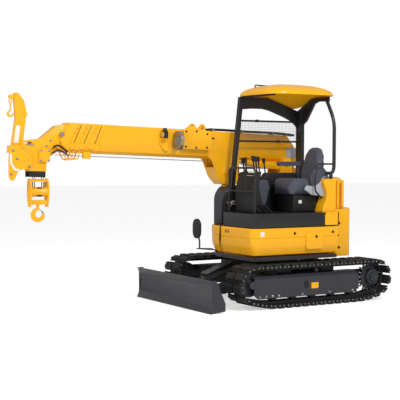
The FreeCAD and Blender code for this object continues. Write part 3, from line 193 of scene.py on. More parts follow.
yellow_paint = painted("yellow_paint", (0.93, 0.445, 0.003), (0.89, 0.41, 0.003), 0.34, 0.12)
dark_paint = painted("dark_paint", (0.016, 0.016, 0.018), (0.01, 0.01, 0.011), 0.36, 0.2)
frame_paint = painted("frame_paint", (0.036, 0.038, 0.045), (0.026, 0.027, 0.033), 0.44, 0.1, dust=0.06)
black_plastic = painted("black_plastic", (0.012, 0.012, 0.014), (0.008, 0.008, 0.009), 0.5, 0.0, 0.05)
worn_steel = painted("worn_steel", (0.42, 0.42, 0.43), (0.28, 0.28, 0.29), 0.34, 0.0, 0.03, metal=0.9)
bright_steel = painted("bright_steel", (0.7, 0.7, 0.72), (0.62, 0.62, 0.64), 0.16, 0.0, 0.004, metal=1.0)
soft_rubber = painted("soft_rubber", (0.011, 0.011, 0.011), (0.018, 0.017, 0.016), 0.66, 0.0, 0.08, dust=0.1)
white_label = painted("white_label", (0.8, 0.8, 0.78), (0.74, 0.74, 0.72), 0.4, 0.1, 0.004)
grey_vinyl = painted("grey_vinyl", (0.075, 0.082, 0.11), (0.058, 0.063, 0.085), 0.55, 0.05, 0.06)
pale_plastic = painted("pale_plastic", (0.42, 0.43, 0.47), (0.36, 0.37, 0.41), 0.45, 0.05, 0.02)


def body_of(node):
    """Moving body that a CAD node belongs to."""
    bodies = frame["record"]["behaviour"]["bodies"]
    return next(name for name, members in bodies.items() if node in members)


def show(name, mesh, host, material):
    """New piece from a finished mesh, riding on the body of a CAD node where one is named."""
    piece = in_scene(name, mesh)
    mesh.materials.clear()
    mesh.materials.append(material)
    if host:
        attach(piece, body_of(host))
    return piece


def rounded(piece, width, segments=2):
    """Bevelled edges with clean shading on a welded or cast piece."""
    for face in piece.data.polygons:
        face.use_smooth = True
    bevel = piece.modifiers.new("edges", "BEVEL")
    bevel.width = width
    bevel.segments = segments
    bevel.limit_method = "ANGLE"
    bevel.angle_limit = math.radians(28)
    bevel.use_clamp_overlap = True
    bevel.harden_normals = True
    return piece


def settled(name, work):
    """Mesh of what has been drawn."""
    mesh = bpy.data.meshes.new(name)
    work.to_mesh(mesh)
    work.free()
    return mesh


def dressed(node, material, width, segments=2):
    """Copy of a rigid node with its triangles merged to plain faces and its edges rounded."""
    name = node + "_skin"
    work = bmesh.new()
    work.from_mesh(frame["nodes"][node].data)
    bmesh.ops.remove_doubles(work, verts=work.verts, dist=0.00005)
    bmesh.ops.dissolve_limit(work, angle_limit=FLAT, verts=work.verts, edges=work.edges)
    piece = show(name, settled(name, work), node, material)
    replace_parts(piece, node)
    rounded(piece, width, segments)


for node in ("boom_base", "boom_tube_2", "boom_tube_3", "boom_tube_4", "boom_head"):
    dressed(node, yellow_paint, 0.004)
dressed("head_bumpers", soft_rubber, 0.006)

# Collar screws and stiffeners: two steel screws on the side of each slanted collar, and a
# pressed tab below it. They hold the slide pads inside the tubes.

BOOM_PIN = (-0.3, -0.33, 1.86)
BOOM_ANGLE = math.radians(-1.84)
ON_BOOM = Matrix.Translation(BOOM_PIN) @ Matrix.Rotation(BOOM_ANGLE, 4, "Y")


def skin(work, rings, closed=True):
    """Faces between rings of corners that follow each other."""
    panels = []
    for first, second in zip(rings, rings[1:]):
        for number in range(len(first) if closed else len(first) - 1):
            after = (number + 1) % len(first)
            panels.append(work.faces.new((first[number], first[after], second[after], second[number])))
    return panels


def slab(work, outline, low, high, axis="y"):
    """Flat plate over an outline drawn across one axis."""
    order = {"x": (2, 0, 1), "y": (0, 2, 1), "z": (0, 1, 2)}[axis]
    rings = []
    for level in (low, high):
        spots = [(a, b, level) for a, b in outline]
        rings.append([work.verts.new([spot[index] for index in order]) for spot in spots])
    for ring in rings:
        work.faces.new(ring)
    skin(work, rings)
    return work


def bar(work, start, end, radius, sides=20, tip=None):
    """Round bar or cone between two points."""
    start, end = Vector(start), Vector(end)
    turn = (end - start).to_track_quat("Z", "Y").to_matrix().to_4x4()
    bmesh.ops.create_cone(work, cap_ends=True, segments=sides, radius1=radius,
                          radius2=radius if tip is None else tip, depth=(end - start).length,
                          matrix=Matrix.Translation((start + end) / 2) @ turn)
    return work


def made(name, work, host, material, width=0.002, segments=2, place=None):
    """Piece from drawn solids, with its edges rounded."""
    if place:
        bmesh.ops.transform(work, matrix=place, verts=work.verts)
    bmesh.ops.recalc_face_normals(work, faces=work.faces)
    return rounded(show(name, settled(name, work), host, material), width, segments)


def copies_group():
    """Places one object on every spot, stands it along two directions and turns it loosely."""
    group = bpy.data.node_groups.new("placed_copies", "GeometryNodeTree")
    sockets = (("Spots", "NodeSocketGeometry"), ("Copy", "NodeSocketObject"),
               ("Finish", "NodeSocketMaterial"), ("Loose Turn", "NodeSocketFloat"),
               ("Seed", "NodeSocketInt"))
    for label, kind in sockets:
        group.interface.new_socket(label, in_out="INPUT", socket_type=kind)
    group.interface.new_socket("Copies", in_out="OUTPUT", socket_type="NodeSocketGeometry")
    kinds = {"start": "NodeGroupInput", "end": "NodeGroupOutput", "source": "GeometryNodeObjectInfo",
             "stand": "FunctionNodeAxesToRotation", "outward": "GeometryNodeInputNamedAttribute",
             "across": "GeometryNodeInputNamedAttribute", "chance": "FunctionNodeRandomValue",
             "amount": "ShaderNodeMath", "loose": "FunctionNodeAxisAngleToRotation",
             "turned": "FunctionNodeRotateRotation", "placed": "GeometryNodeInstanceOnPoints",
             "real": "GeometryNodeRealizeInstances", "finish": "GeometryNodeSetMaterial"}
    nodes = {label: group.nodes.new(kind) for label, kind in kinds.items()}
    nodes["stand"].primary_axis = "Z"
    nodes["stand"].secondary_axis = "Y"
    for label in ("outward", "across"):
        nodes[label].data_type = "FLOAT_VECTOR"
        set_inputs(nodes[label], {"Name": label})
    nodes["chance"].data_type = "FLOAT"
    nodes["amount"].operation = "MULTIPLY"
    set_inputs(nodes["loose"], {"Axis": (0, 0, 1)})
    nodes["turned"].rotation_space = "LOCAL"
    for source, output, target, entry in (
            ("start", "Copy", "source", "Object"), ("outward", 0, "stand", 0), ("across", 0, "stand", 1),
            ("start", "Seed", "chance", "Seed"), ("chance", 1, "amount", 0),
            ("start", "Loose Turn", "amount", 1), ("amount", 0, "loose", "Angle"),
            ("stand", 0, "turned", 0), ("loose", 0, "turned", 1), ("start", "Spots", "placed", "Points"),
            ("source", "Geometry", "placed", "Instance"), ("turned", 0, "placed", "Rotation"),
            ("placed", 0, "real", 0), ("real", 0, "finish", "Geometry"),
            ("start", "Finish", "finish", "Material"), ("finish", 0, "end", 0)):
        group.links.new(nodes[source].outputs[output], nodes[target].inputs[entry])
    return group


placed_copies = copies_group()


def as_seen(item):
    """Evaluated copy of an object, with its modifiers at work."""
    return item.evaluated_get(bpy.context.evaluated_depsgraph_get())


def repeated(name, spots, copy, host, material, loose=0.0, seed=7):
    """One small mesh on every (place, outward, across) spot, made real as one piece."""
    points = bpy.data.meshes.new(name + "_spots")
    points.from_pydata([spot[0] for spot in spots], [], [])
    for number, label in ((1, "outward"), (2, "across")):
        field = points.attributes.new(label, "FLOAT_VECTOR", "POINT")
        for index, spot in enumerate(spots):
            field.data[index].vector = spot[number]
    pattern = in_scene(name + "_pattern", copy)
    carrier = in_scene(name + "_carrier", points)
    modifier = carrier.modifiers.new("copies", "NODES")
    modifier.node_group = placed_copies
    values = {"Copy": pattern, "Finish": material, "Loose Turn": loose, "Seed": seed}
    for socket in placed_copies.interface.items_tree:
        if socket.in_out == "INPUT" and socket.name in values:
            modifier[socket.identifier] = values[socket.name]
    bpy.context.view_layer.update()
    mesh = bpy.data.meshes.new_from_object(as_seen(carrier))
    mesh.name = name
    carrier.modifiers.remove(modifier)
    for item in (pattern, carrier):
        bpy.data.objects.remove(item)
    return show(name, mesh, host, material)


def bolt_copy(radius):
    """Hexagon head on its washer, standing on Z = 0."""
    work = bmesh.new()
    bar(work, (0, 0, 0), (0, 0, radius * 0.25), radius * 1.35, 14)
    bar(work, (0, 0, radius * 0.2), (0, 0, radius * 0.85), radius, 6)
    bar(work, (0, 0, radius * 0.85), (0, 0, radius), radius, 6, radius * 0.8)
    return settled("bolt", work)


def bolted(name, points, outward, radius, host, material, place=None):
    """Bolts that all stand on one face, each turned by chance."""
    outward = Vector(outward)
    across = Vector((0, 0, 1)) if abs(outward.z) < 0.9 else Vector((1, 0, 0))
    turn = place.to_3x3() if place else Matrix.Identity(3)
    moved = [place @ Vector(point) if place else Vector(point) for point in points]
    spots = [(point, turn @ outward, turn @ across) for point in moved]
    repeated(name, spots, bolt_copy(radius), host, material, 1.0)


LEFTWARD = (0, 1, 0)
SCREWS = (((3.242, 0.343), (3.275, 0.285)), ((3.119, 0.35), (3.151, 0.285)),
          ((2.987, 0.357), (3.019, 0.292)))
SEAMS = ((3.284, 3.182), (3.147, 3.043), (2.994, 2.905))
SEAM_WIDTH = 0.008
TAB_FRONT = 3.36
TAB_PITCH = 0.13
for number, host in enumerate(("boom_tube_4", "boom_tube_3", "boom_tube_2")):
    bolted("collar_screws_%d" % number, [(x, 0.13, z) for x, z in SCREWS[number]], LEFTWARD, 0.014,
           host, yellow_paint, ON_BOOM)
    low_x, high_x = SEAMS[number]
    edge = [(low_x, 0.145), (low_x + SEAM_WIDTH, 0.145), (high_x + SEAM_WIDTH, 0.38), (high_x, 0.38)]
    made("collar_edge_%d" % number, slab(bmesh.new(), edge, 0.129, 0.1325), host, dark_paint,
         0.0003, 1, ON_BOOM)
    x = TAB_FRONT - TAB_PITCH * number
    tab = [(x, 0.135), (x - 0.1, 0.135), (x - 0.085, 0.075), (x - 0.03, 0.075)]
    made("collar_tab_%d" % number, slab(bmesh.new(), tab, 0.112, 0.128), host, yellow_paint,
         place=ON_BOOM)

# Boom furniture: cover plate with a steel hose reel behind it, a work lamp, lifting eyes
# and the slot of the length gauge. All are bolted to the left side of the base tube. The
# slot and the holes of the eyes are filled with black sheet and plugs as painted shade.


def block(work, low, high):
    """Box between two corners."""
    outline = [(low[0], low[1]), (high[0], low[1]), (high[0], high[1]), (low[0], high[1])]
    return slab(work, outline, low[2], high[2], "z")


def on_boom(name, work, host, material, width=0.002):
    """Piece drawn in the boom's own frame."""
    made(name, work, host, material, width, place=ON_BOOM)


dressed("cord_reel", yellow_paint, 0.002)
REEL = Vector((1.825, 0.215, 0.24))
reel = bmesh.new()
for half, radius, sides in ((0.025, 0.128, 40), (0.04, 0.06, 32), (0.055, 0.022, 20)):
    bar(reel, REEL - Vector((half, 0, 0)), REEL + Vector((half, 0, 0)), radius, sides)
slab(reel, [(1.76, 0.225), (1.79, 0.225), (1.79, 0.255), (1.76, 0.255)], 0.13, 0.225)
on_boom("hose_reel", reel, "cord_reel", worn_steel, 0.003)
lamp = bmesh.new()
block(lamp, (1.99, 0.15, 0.262), (2.05, 0.24, 0.36))
slab(lamp, [(2.0, 0.36), (2.04, 0.36), (2.03, 0.4), (2.01, 0.4)], 0.16, 0.23)
slab(lamp, [(1.985, 0.3), (2.01, 0.3), (2.01, 0.345), (1.985, 0.345)], 0.13, 0.16)
on_boom("work_lamp", lamp, "cord_reel", dark_paint, 0.006)
bracket = bmesh.new()
slab(bracket, [(2.065, 0.258), (2.065, 0.19), (1.985, 0.1), (1.93, 0.1), (1.965, 0.258)],
     0.129, 0.16)
block(bracket, (1.98, 0.13, 0.25), (2.06, 0.236, 0.262))
on_boom("lamp_bracket", bracket, "cord_reel", yellow_paint, 0.003)
lens = bar(bmesh.new(), (2.05, 0.195, 0.311), (2.056, 0.195, 0.311), 0.04, 28)
on_boom("work_lamp_lens", lens, "cord_reel", bright_steel)
eyes = bmesh.new()
# Black sheet over the gauge slot and black plugs in the eye holes: painted shade.
recess_shade = slab(bmesh.new(), [(1.205, 0.288), (1.325, 0.3), (1.325, 0.322), (1.205, 0.31)], 0.129, 0.1315)
for x in (1.545, 1.39):
    slab(eyes, [(x - 0.07, 0.396), (x + 0.07, 0.396), (x + 0.05, 0.455), (x + 0.02, 0.485),
                (x - 0.02, 0.485), (x - 0.05, 0.455)], 0.085, 0.103)
    bar(recess_shade, (x, 0.08, 0.44), (x, 0.108, 0.44), 0.019)
on_boom("lifting_eyes", eyes, "cord_reel", yellow_paint, 0.003)
on_boom("dark_recesses", recess_shade, "cord_reel", black_plastic, 0.0005)
COVER_SIDE = 0.208
cover_bolts = [(x, COVER_SIDE, z) for x, z in ((1.37, 0.17), (1.37, 0.35), (1.7, 0.17), (1.7, 0.37),
                                               (1.54, 0.38), (1.54, 0.16))]
bolted("cover_bolts", cover_bolts, LEFTWARD, 0.011, "cord_reel", dark_paint, ON_BOOM)

# Winch rope and hoses: a steel rope runs below the boom through two guides, and black
# rubber hoses lie along the top towards the operator. Clips hold them on the base tube.

ROPE_SIDE = 0.135
ROPE_LEVEL = -0.012
ROPE_RADIUS = 0.0055


def eased(before, corner, after, reach_in, reach_out, steps):
    """Spots of a rounded corner between two straight runs."""
    first = corner + (before - corner).normalized() * reach_in
    last = corner + (after - corner).normalized() * reach_out
    shares = [step / steps for step in range(steps + 1)]
    return [first.lerp(corner, share).lerp(corner.lerp(last, share), share) for share in shares]


def tube(work, points, radius, bend=0.04, sides=12):
    """Round tube along straight runs with rounded corners."""
    points = [Vector(point) for point in points]
    line = [points[0]]
    for before, corner, after in zip(points, points[1:], points[2:]):
        line += eased(before, corner, after, min(bend, (before - corner).length / 2),
                      min(bend, (after - corner).length / 2), 6)
    line.append(points[-1])
    rings = []
    side = None
    for index, spot in enumerate(line):
        heading = (line[min(index + 1, len(line) - 1)] - line[max(index - 1, 0)]).normalized()
        if side is None:
            side = heading.orthogonal().normalized()
        side = (side - heading * side.dot(heading)).normalized()
        up = heading.cross(side)
        turns = [2 * math.pi * number / sides for number in range(sides)]
        rings.append([work.verts.new(spot + (side * math.cos(turn) + up * math.sin(turn)) * radius)
                      for turn in turns])
    skin(work, rings)
    work.faces.new(rings[0])
    work.faces.new(rings[-1])
    return work


def rope_run(name, host, low, high):
    """Straight length of the winch rope below the boom, with its two ends in the frame."""
    ends = [Vector((x, ROPE_SIDE, ROPE_LEVEL)) for x in (low, high)]
    piece = made(name, tube(bmesh.new(), ends, ROPE_RADIUS), host, worn_steel, 0.0002, 1, ON_BOOM)
    return [piece] + [tuple(ON_BOOM @ end) for end in ends]


rope_run("rope_on_base", "boom_base", 1.3, 2.7)
for inner, outer, low, high in (("boom", "tube_2", 2.7, 2.9), ("tube_2", "tube_3", 2.9, 3.05),
                                ("tube_3", "tube_4", 3.05, 3.2), ("tube_4", "head", 3.2, 3.54)):
    stretch, low_end, high_end = rope_run("rope_to_" + outer, None, low, high)
    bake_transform(stretch)
chart = slab(bmesh.new(), [(-0.19, 0.09), (0.0, 0.09), (0.0, 0.23), (-0.19, 0.23)], 0.1358, 0.1368)
on_boom("blank_chart", chart, "boom_base", pale_plastic, 0.001)
GUIDES = (((3.444, 0.05), (3.385, -0.06), (3.318, -0.064), (3.285, 0.045)),
          ((3.35, 0.05), (3.3, -0.056), (3.225, -0.05), (3.199, 0.05)))
guides = bmesh.new()
for y in (0.02, 0.128):
    for line in GUIDES:
        tube(guides, [(x, y, z) for x, z in line], 0.0085, 0.02)
for x, z in ((3.352, -0.062), (3.262, -0.053)):
    bar(guides, (x, 0.01, z), (x, 0.138, z), 0.012)
on_boom("rope_guide", guides, "boom_tube_4", yellow_paint, 0.001)
on_boom("roller_block", block(bmesh.new(), (3.06, 0.1, -0.045), (3.16, 0.16, 0.045)), "boom_tube_3",
        yellow_paint, 0.008)
hoses = bmesh.new()
for y, z in ((0.095, 0.418), (0.06, 0.416), (0.022, 0.416)):
    tube(hoses, [(1.4, y, z - 0.004), (1.1, y, z + 0.012), (0.6, y, z + 0.006),
                 (0.1, y, z + 0.014), (-0.16, y, z - 0.006)], 0.0145, 0.2)
on_boom("boom_hoses", hoses, "boom_base", soft_rubber, 0.001)
clips = bmesh.new()
for x in (1.22, 0.74, 0.22):
    block(clips, (x - 0.014, 0.0, 0.398), (x + 0.014, 0.115, 0.442))
on_boom("hose_clips", clips, "boom_base", worn_steel, 0.003)

# Boom head, hook block and searcher arm: flame-cut plates and steel forgings in yellow,
# with pinned sheaves, black hoses and blank labels. A pin holds the arm on the head.

HOOK_SIDE = -0.33


def oval(middle, wide, high, count):
    """Pairs around an oval."""
    turns = [2 * math.pi * number / count for number in range(count)]
    return [(middle[0] + wide * math.cos(turn), middle[1] + high * math.sin(turn)) for turn in turns]


def stand_in(name, work, node, material, width=0.002, segments=2, place=None):
    """Piece from drawn solids that shows in place of a CAD node."""
    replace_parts(made(name, work, node, material, width, segments, place), node)


def forged_hook(name, node, middle, bowl, outer, shift, half, top, shank, bore=0.0):
    """Flat forged hook: round inside, thicker at its back and below, open beside its shank."""
    x, z = middle
    turns = [math.radians(168 + 294 * step / 24) for step in range(25)]
    outline = [(x + shift + outer * math.cos(turn), z - shift + outer * math.sin(turn)) for turn in turns]
    outline += [(x + bowl * math.cos(turn), z + bowl * math.sin(turn)) for turn in reversed(turns)]
    work = slab(bmesh.new(), outline, HOOK_SIDE - half, HOOK_SIDE + half)
    bar(work, (x + shift, HOOK_SIDE, z + bowl), (x + shift, HOOK_SIDE, top), shank, 20)
    if bore:
        eye = [(a, HOOK_SIDE, b) for a, b in oval((x + shift, top + bore), bore * 1.2, bore * 1.2, 24)]
        tube(work, eye + eye[:1], bore * 0.42, 0.001, 10)
    stand_in(name, work, node, yellow_paint, half * 0.55, 4)


dressed("hook_block", yellow_paint, 0.004)
forged_hook("forged_hook", "hook", (3.4, 1.225), 0.047, 0.09, 0.012, 0.019, 1.345, 0.018)
# Sheave and rope ends inside the hook block, in dark paint: the parts are real, and their dark colour is
# painted shade inside the block's window.
falls = bmesh.new()
for x in (3.345, 3.465):
    for y in (HOOK_SIDE - 0.032, HOOK_SIDE + 0.032):
        bar(falls, (x, y, 1.545), (x, y, 1.664), 0.006, 10)
bar(falls, (3.405, HOOK_SIDE - 0.048, 1.5), (3.405, HOOK_SIDE + 0.048, 1.5), 0.06, 32)
made("block_sheaves", falls, "hook_block", dark_paint)
latch = [(3.392, 1.285), (3.402, 1.29), (3.338, 1.232), (3.33, 1.24)]
made("hook_latch", slab(bmesh.new(), latch, HOOK_SIDE - 0.008, HOOK_SIDE + 0.008), "hook", dark_paint,
     0.001)
forged_hook("small_hook", "searcher_hook", (3.762, 2.468), 0.024, 0.043, 0.006, 0.01, 2.6, 0.01, 0.017)
FORK = [(3.975, 0.06), (4.113, 0.06), (4.127, -0.04), (4.12, -0.29), (4.095, -0.345), (4.055, -0.345),
        (4.027, -0.3), (4.005, -0.24), (3.945, -0.205), (3.845, -0.195), (3.815, -0.14), (3.845, -0.02)]
arm = bmesh.new()
slab(arm, FORK, 0.084, 0.104)
slab(arm, [(min(x, 3.99), z) for x, z in FORK], -0.104, -0.084)
slab(arm, [(3.985, -0.008), (4.108, -0.008), (4.102, 0.083), (3.962, 0.083)], -0.036, 0.102)
slab(arm, [(3.905, 0.0), (3.988, 0.0), (3.985, 0.08), (3.962, 0.08)], -0.1, -0.03)
slab(arm, [(4.066, 0.03), (4.02, 0.43), (4.044, 0.649), (4.052, 0.716), (4.028, 0.735), (3.999, 0.727),
           (3.925, 0.646), (3.885, 0.5), (3.869, 0.468), (3.889, 0.455), (3.922, 0.125), (3.945, 0.03)],
     -0.036, 0.036)
for y in (-0.02, 0.01):
    slab(arm, [(4.03, 0.65), (4.11, 0.662), (4.118, 0.69), (4.095, 0.705), (4.03, 0.7)], y, y + 0.01)
bar(arm, (3.905, -0.112, -0.076), (3.905, 0.112, -0.076), 0.028, 24)
bar(arm, (4.073, 0.08, -0.304), (4.073, 0.107, -0.304), 0.03, 24)
stand_in("jib_arm", arm, "searcher_arm", yellow_paint, 0.004, 3, ON_BOOM)
dressed("head_sheaves", dark_paint, 0.002)
dressed("rope_falls", worn_steel, 0.0005)
head_parts = bmesh.new()
slab(head_parts, [(3.8, 0.096), (3.905, 0.1), (3.905, 0.116), (3.8, 0.112)], 0.076, 0.09)
bar(head_parts, (3.44, 0.1, 0.247), (3.44, 0.131, 0.247), 0.03, 28)
on_boom("head_pin_plate", head_parts, "boom_head", worn_steel)
on_boom("head_boss", block(bmesh.new(), (3.59, 0.07, -0.105), (3.735, 0.112, 0.055)), "boom_head",
        yellow_paint, 0.006)
boss_bolts = [(x, 0.112, z) for z in (0.035, -0.085) for x in (3.61, 3.715)]
boss_bolts += [(3.58, 0.08, 0.165), (3.632, 0.08, 0.095)]
bolted("head_bolts", boss_bolts, LEFTWARD, 0.01, "boom_head", worn_steel, ON_BOOM)
head_hoses = bmesh.new()
tube(head_hoses, [(3.37, 0.124, 0.03), (3.43, 0.138, 0.075), (3.5, 0.134, 0.115), (3.56, 0.112, 0.08)],
     0.012)
tube(head_hoses, [(3.36, 0.122, -0.01), (3.43, 0.134, 0.03), (3.5, 0.128, 0.055), (3.57, 0.112, 0.01)],
     0.01)
on_boom("head_hoses", head_hoses, "boom_head", soft_rubber, 0.001)
label = bmesh.new()
slab(label, [(3.985, 0.12), (4.045, 0.12), (4.02, 0.33), (3.965, 0.33)], 0.0362, 0.0375)
slab(label, [(4.09, -0.02), (4.113, -0.02), (4.108, -0.14), (4.06, -0.215), (3.985, -0.235),
             (3.985, -0.208), (4.045, -0.192), (4.084, -0.13)], 0.1042, 0.106)
on_boom("arm_labels", label, "searcher_arm", white_label, 0.0004)
arm_bolts = [(x, 0.104, z) for x, z in ((4.075, 0.02), (4.02, -0.08), (3.86, -0.17), (4.09, -0.27))]
bolted("arm_bolts", arm_bolts, LEFTWARD, 0.012, "searcher_arm", worn_steel, ON_BOOM)

# Tracks: steel shoes with split rubber pads, four bolts each, on a chain of paired links.
# Every shoe is a copy placed along the loop of the CAD part.

WHEEL_X = 1.0025
WHEEL_Z = 0.313
TRACK_SIDE = 0.793
SHOE_PITCH = 0.135
PIN_INSET = 0.069
SIDES = (("left", 1), ("right", -1))


def loop_line():
    """Fine spots along the track's pin line, front to rear along the ground."""
    circles = [(WHEEL_X, WHEEL_Z, 0.262 - PIN_INSET), (0.76, 0.12, 0.12 - PIN_INSET),
               (-0.76, 0.12, 0.12 - PIN_INSET), (-WHEEL_X, WHEEL_Z, 0.262 - PIN_INSET)]
    normals = []
    for number, (x1, z1, r1) in enumerate(circles):
        x2, z2, r2 = circles[(number + 1) % 4]
        heading = math.atan2(z2 - z1, x2 - x1)
        normals.append(heading + math.acos((r1 - r2) / math.hypot(x2 - x1, z2 - z1)))
    line = []
    for number, normal in enumerate(normals):
        x1, z1, r1 = circles[number]
        before = normals[number - 1]
        sweep = (before - normal) % (2 * math.pi)
        for step in range(25):
            turn = before - sweep * step / 24
            line.append(Vector((x1 + r1 * math.cos(turn), 0, z1 + r1 * math.sin(turn))))
    return line + line[:1]


def loop_spots(side):
    """Middle of every shoe on the pin line, with its outward and sideways directions."""
    line = loop_line()
    lengths = [(after - before).length for before, after in zip(line, line[1:])]
    total = sum(lengths)
    count = round(total / SHOE_PITCH)
    spots = []
    for number in range(count):
        target = total * number / count
        index = 0
        while target > lengths[index]:
            target -= lengths[index]
            index += 1
        share = target / max(lengths[index], 1e-6)
        spots.append(line[index].lerp(line[index + 1], share))
    shoes = []
    for number, spot in enumerate(spots):
        after = spots[(number + 1) % count]
        heading = (after - spot).normalized()
        outward = Vector((-heading.z, 0, heading.x))
        shoes.append(((spot + after) / 2 + Vector((0, side * TRACK_SIDE, 0)), outward, Vector(LEFTWARD)))
    return shoes


shoe = bmesh.new()
slab(shoe, [(-0.06, 0.024), (0.052, 0.024), (0.064, 0.018), (0.064, 0.028), (0.052, 0.036),
            (-0.06, 0.036)], -0.198, 0.198)
for low, high in ((-0.192, -0.016), (0.016, 0.192)):
    slab(shoe, [(-0.05, 0.036), (-0.041, 0.066), (0.041, 0.066), (0.05, 0.036)], low, high)
for middle in (-0.048, 0.048):
    slab(shoe, [(-0.068, -0.022), (0.068, -0.022), (0.068, 0.022), (-0.068, 0.022)],
         middle - 0.012, middle + 0.012)
bar(shoe, (-0.0675, -0.062, 0), (-0.0675, 0.062, 0), 0.017, 14)
bmesh.ops.recalc_face_normals(shoe, faces=shoe.faces)
shoe_mesh = settled("shoe", shoe)
for side_name, side in SIDES:
    shoes = loop_spots(side)
    chain = repeated("shoes_" + side_name, shoes, shoe_mesh, "track_" + side_name, soft_rubber)
    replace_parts(chain, "track_" + side_name)
    rounded(chain, 0.003, 1)
    heads = []
    for spot, outward, across in shoes:
        heading = Vector((outward.z, 0, -outward.x))
        for end in (1, -1):
            for shift in (0.032, -0.032):
                place = spot + heading * shift + outward * 0.03 + across * (end * 0.191)
                heads.append((place, across * end, outward))
    repeated("shoe_bolts_" + side_name, heads, bolt_copy(0.0075), "track_" + side_name, worn_steel, 1.0)

# Running gear and track frames: welded boxes in dark grey with turned rollers, a bolted
# drive hub and a black block of painted shade in the grease window. The frames are welded
# to the car body.

HUB_FACE = 0.886
HUB_CAP = 0.91
APRON_INSIDE = 0.899
APRON_OUTSIDE = 0.908
for side_name, side in SIDES:
    gear = "running_gear_" + side_name
    side_frame = "side_frame_" + side_name
    dressed(gear, frame_paint, 0.004)
    dressed(side_frame, frame_paint, 0.008, 3)
    hub = bmesh.new()
    for x, low, high, radius, sides in ((-WHEEL_X, HUB_FACE - 0.01, HUB_CAP, 0.064, 36),
                                        (-WHEEL_X, HUB_CAP, HUB_CAP + 0.01, 0.026, 20),
                                        (WHEEL_X, 0.838, 0.905, 0.05, 30)):
        bar(hub, (x, side * low, WHEEL_Z), (x, side * high, WHEEL_Z), radius, sides)
    made("hub_caps_" + side_name, hub, gear, frame_paint, 0.004, 3)
    ring = [(x, side * HUB_FACE, z) for x, z in oval((-WHEEL_X, WHEEL_Z), 0.083, 0.083, 12)]
    ring += [(x, side * HUB_CAP, z) for x, z in oval((-WHEEL_X, WHEEL_Z), 0.046, 0.046, 6)]
    bolted("hub_bolts_" + side_name, ring, (0, side, 0), 0.0095, gear, frame_paint)
    apron = bmesh.new()
    slab(apron, [(-0.7, 0.132), (0.93, 0.132), (0.985, 0.18), (0.985, 0.385), (-0.7, 0.385)],
         side * APRON_INSIDE, side * APRON_OUTSIDE)
    lip = ((APRON_INSIDE, 0.385), (APRON_OUTSIDE, 0.385), (0.872, 0.424), (0.862, 0.42))
    slab(apron, [(side * y, z) for y, z in lip], -0.7, 0.985, "x")
    made("side_apron_" + side_name, apron, side_frame, frame_paint, 0.003)
    row = [(x, side * APRON_OUTSIDE, 0.16) for x in (0.9, 0.8, 0.7, 0.6, 0.223, -0.226, -0.621)]
    bolted("frame_bolts_" + side_name, row, (0, side, 0), 0.012, side_frame, worn_steel)
    teeth = bmesh.new()
    for number in range(18):
        turn = 2 * math.pi * number / 18
        outline = []
        for reach, width in ((0.14, -0.1), (0.205, -0.035), (0.205, 0.035), (0.14, 0.1)):
            outline.append((-WHEEL_X + reach * math.cos(turn + width),
                            WHEEL_Z + reach * math.sin(turn + width)))
        slab(teeth, outline, side * TRACK_SIDE - 0.018, side * TRACK_SIDE + 0.018)
    made("sprocket_teeth_" + side_name, teeth, gear, worn_steel, 0.002, 1)
# Black block in the frame's grease window: painted shade in the opening.
opening = block(bmesh.new(), (0.12, 0.88, 0.232), (0.196, 0.9092, 0.332))
made("grease_opening", opening, "side_frame_left", black_plastic, 0.004)
plate = block(bmesh.new(), (-0.04, APRON_INSIDE, 0.222), (0.076, 0.9105, 0.3))
made("blank_plate", plate, "side_frame_left", yellow_paint, 0.001)

# Blade and its cylinder: a curved steel board in dark grey with a bolted cutting edge,
# pinned to the car body by its arms. A guard with screws covers the lift cylinder.

for node in ("car_body", "slew_ring", "blade_board", "blade_arms", "blade_cylinder_barrel"):
    dressed(node, frame_paint, 0.005, 3)
dressed("blade_cylinder_rod", bright_steel, 0.001)
BARREL_PIN = Vector((0.7, 0, 0.505))
ROD_PIN = Vector((1.43, 0, 0.235))
GUARD_TOP = 0.064
along = (ROD_PIN - BARREL_PIN).normalized()
lift = Vector((-along.z, 0, along.x))
strip = [BARREL_PIN + along * reach + lift * rise for reach, rise in (
    (0.06, 0.052), (0.5, 0.052), (0.5, GUARD_TOP), (0.06, GUARD_TOP))]
guard = slab(bmesh.new(), [(spot.x, spot.z) for spot in strip], -0.085, 0.085)
made("cylinder_guard", guard, "blade_cylinder_barrel", frame_paint, 0.003)
spots = [BARREL_PIN + along * reach + lift * GUARD_TOP + Vector((0, wide, 0))
         for reach in (0.1, 0.28, 0.46) for wide in (-0.065, 0.065)]
bolted("guard_screws", spots, lift, 0.01, "blade_cylinder_barrel", worn_steel)

# Upper structure: pressed steel panels over a welded deck, a cast counterweight and a
# ribbed hood, all sprayed yellow. Bolts hold them, with black plugs over their heads.

for node, material, width, segments in (
        ("counterweight", yellow_paint, 0.028, 4), ("engine_hood", yellow_paint, 0.028, 4),
        ("tank_cover", yellow_paint, 0.028, 4), ("fuel_door", yellow_paint, 0.004, 2),
        ("floor", dark_paint, 0.01, 3), ("revolving_frame", yellow_paint, 0.004, 2),
        ("engine_block", black_plastic, 0.01, 2), ("winch_drum", dark_paint, 0.003, 2),
        ("derrick_barrel", yellow_paint, 0.003, 2), ("derrick_rod", bright_steel, 0.001, 2),
        ("mirror", black_plastic, 0.004, 2)):
    dressed(node, material, width, segments)


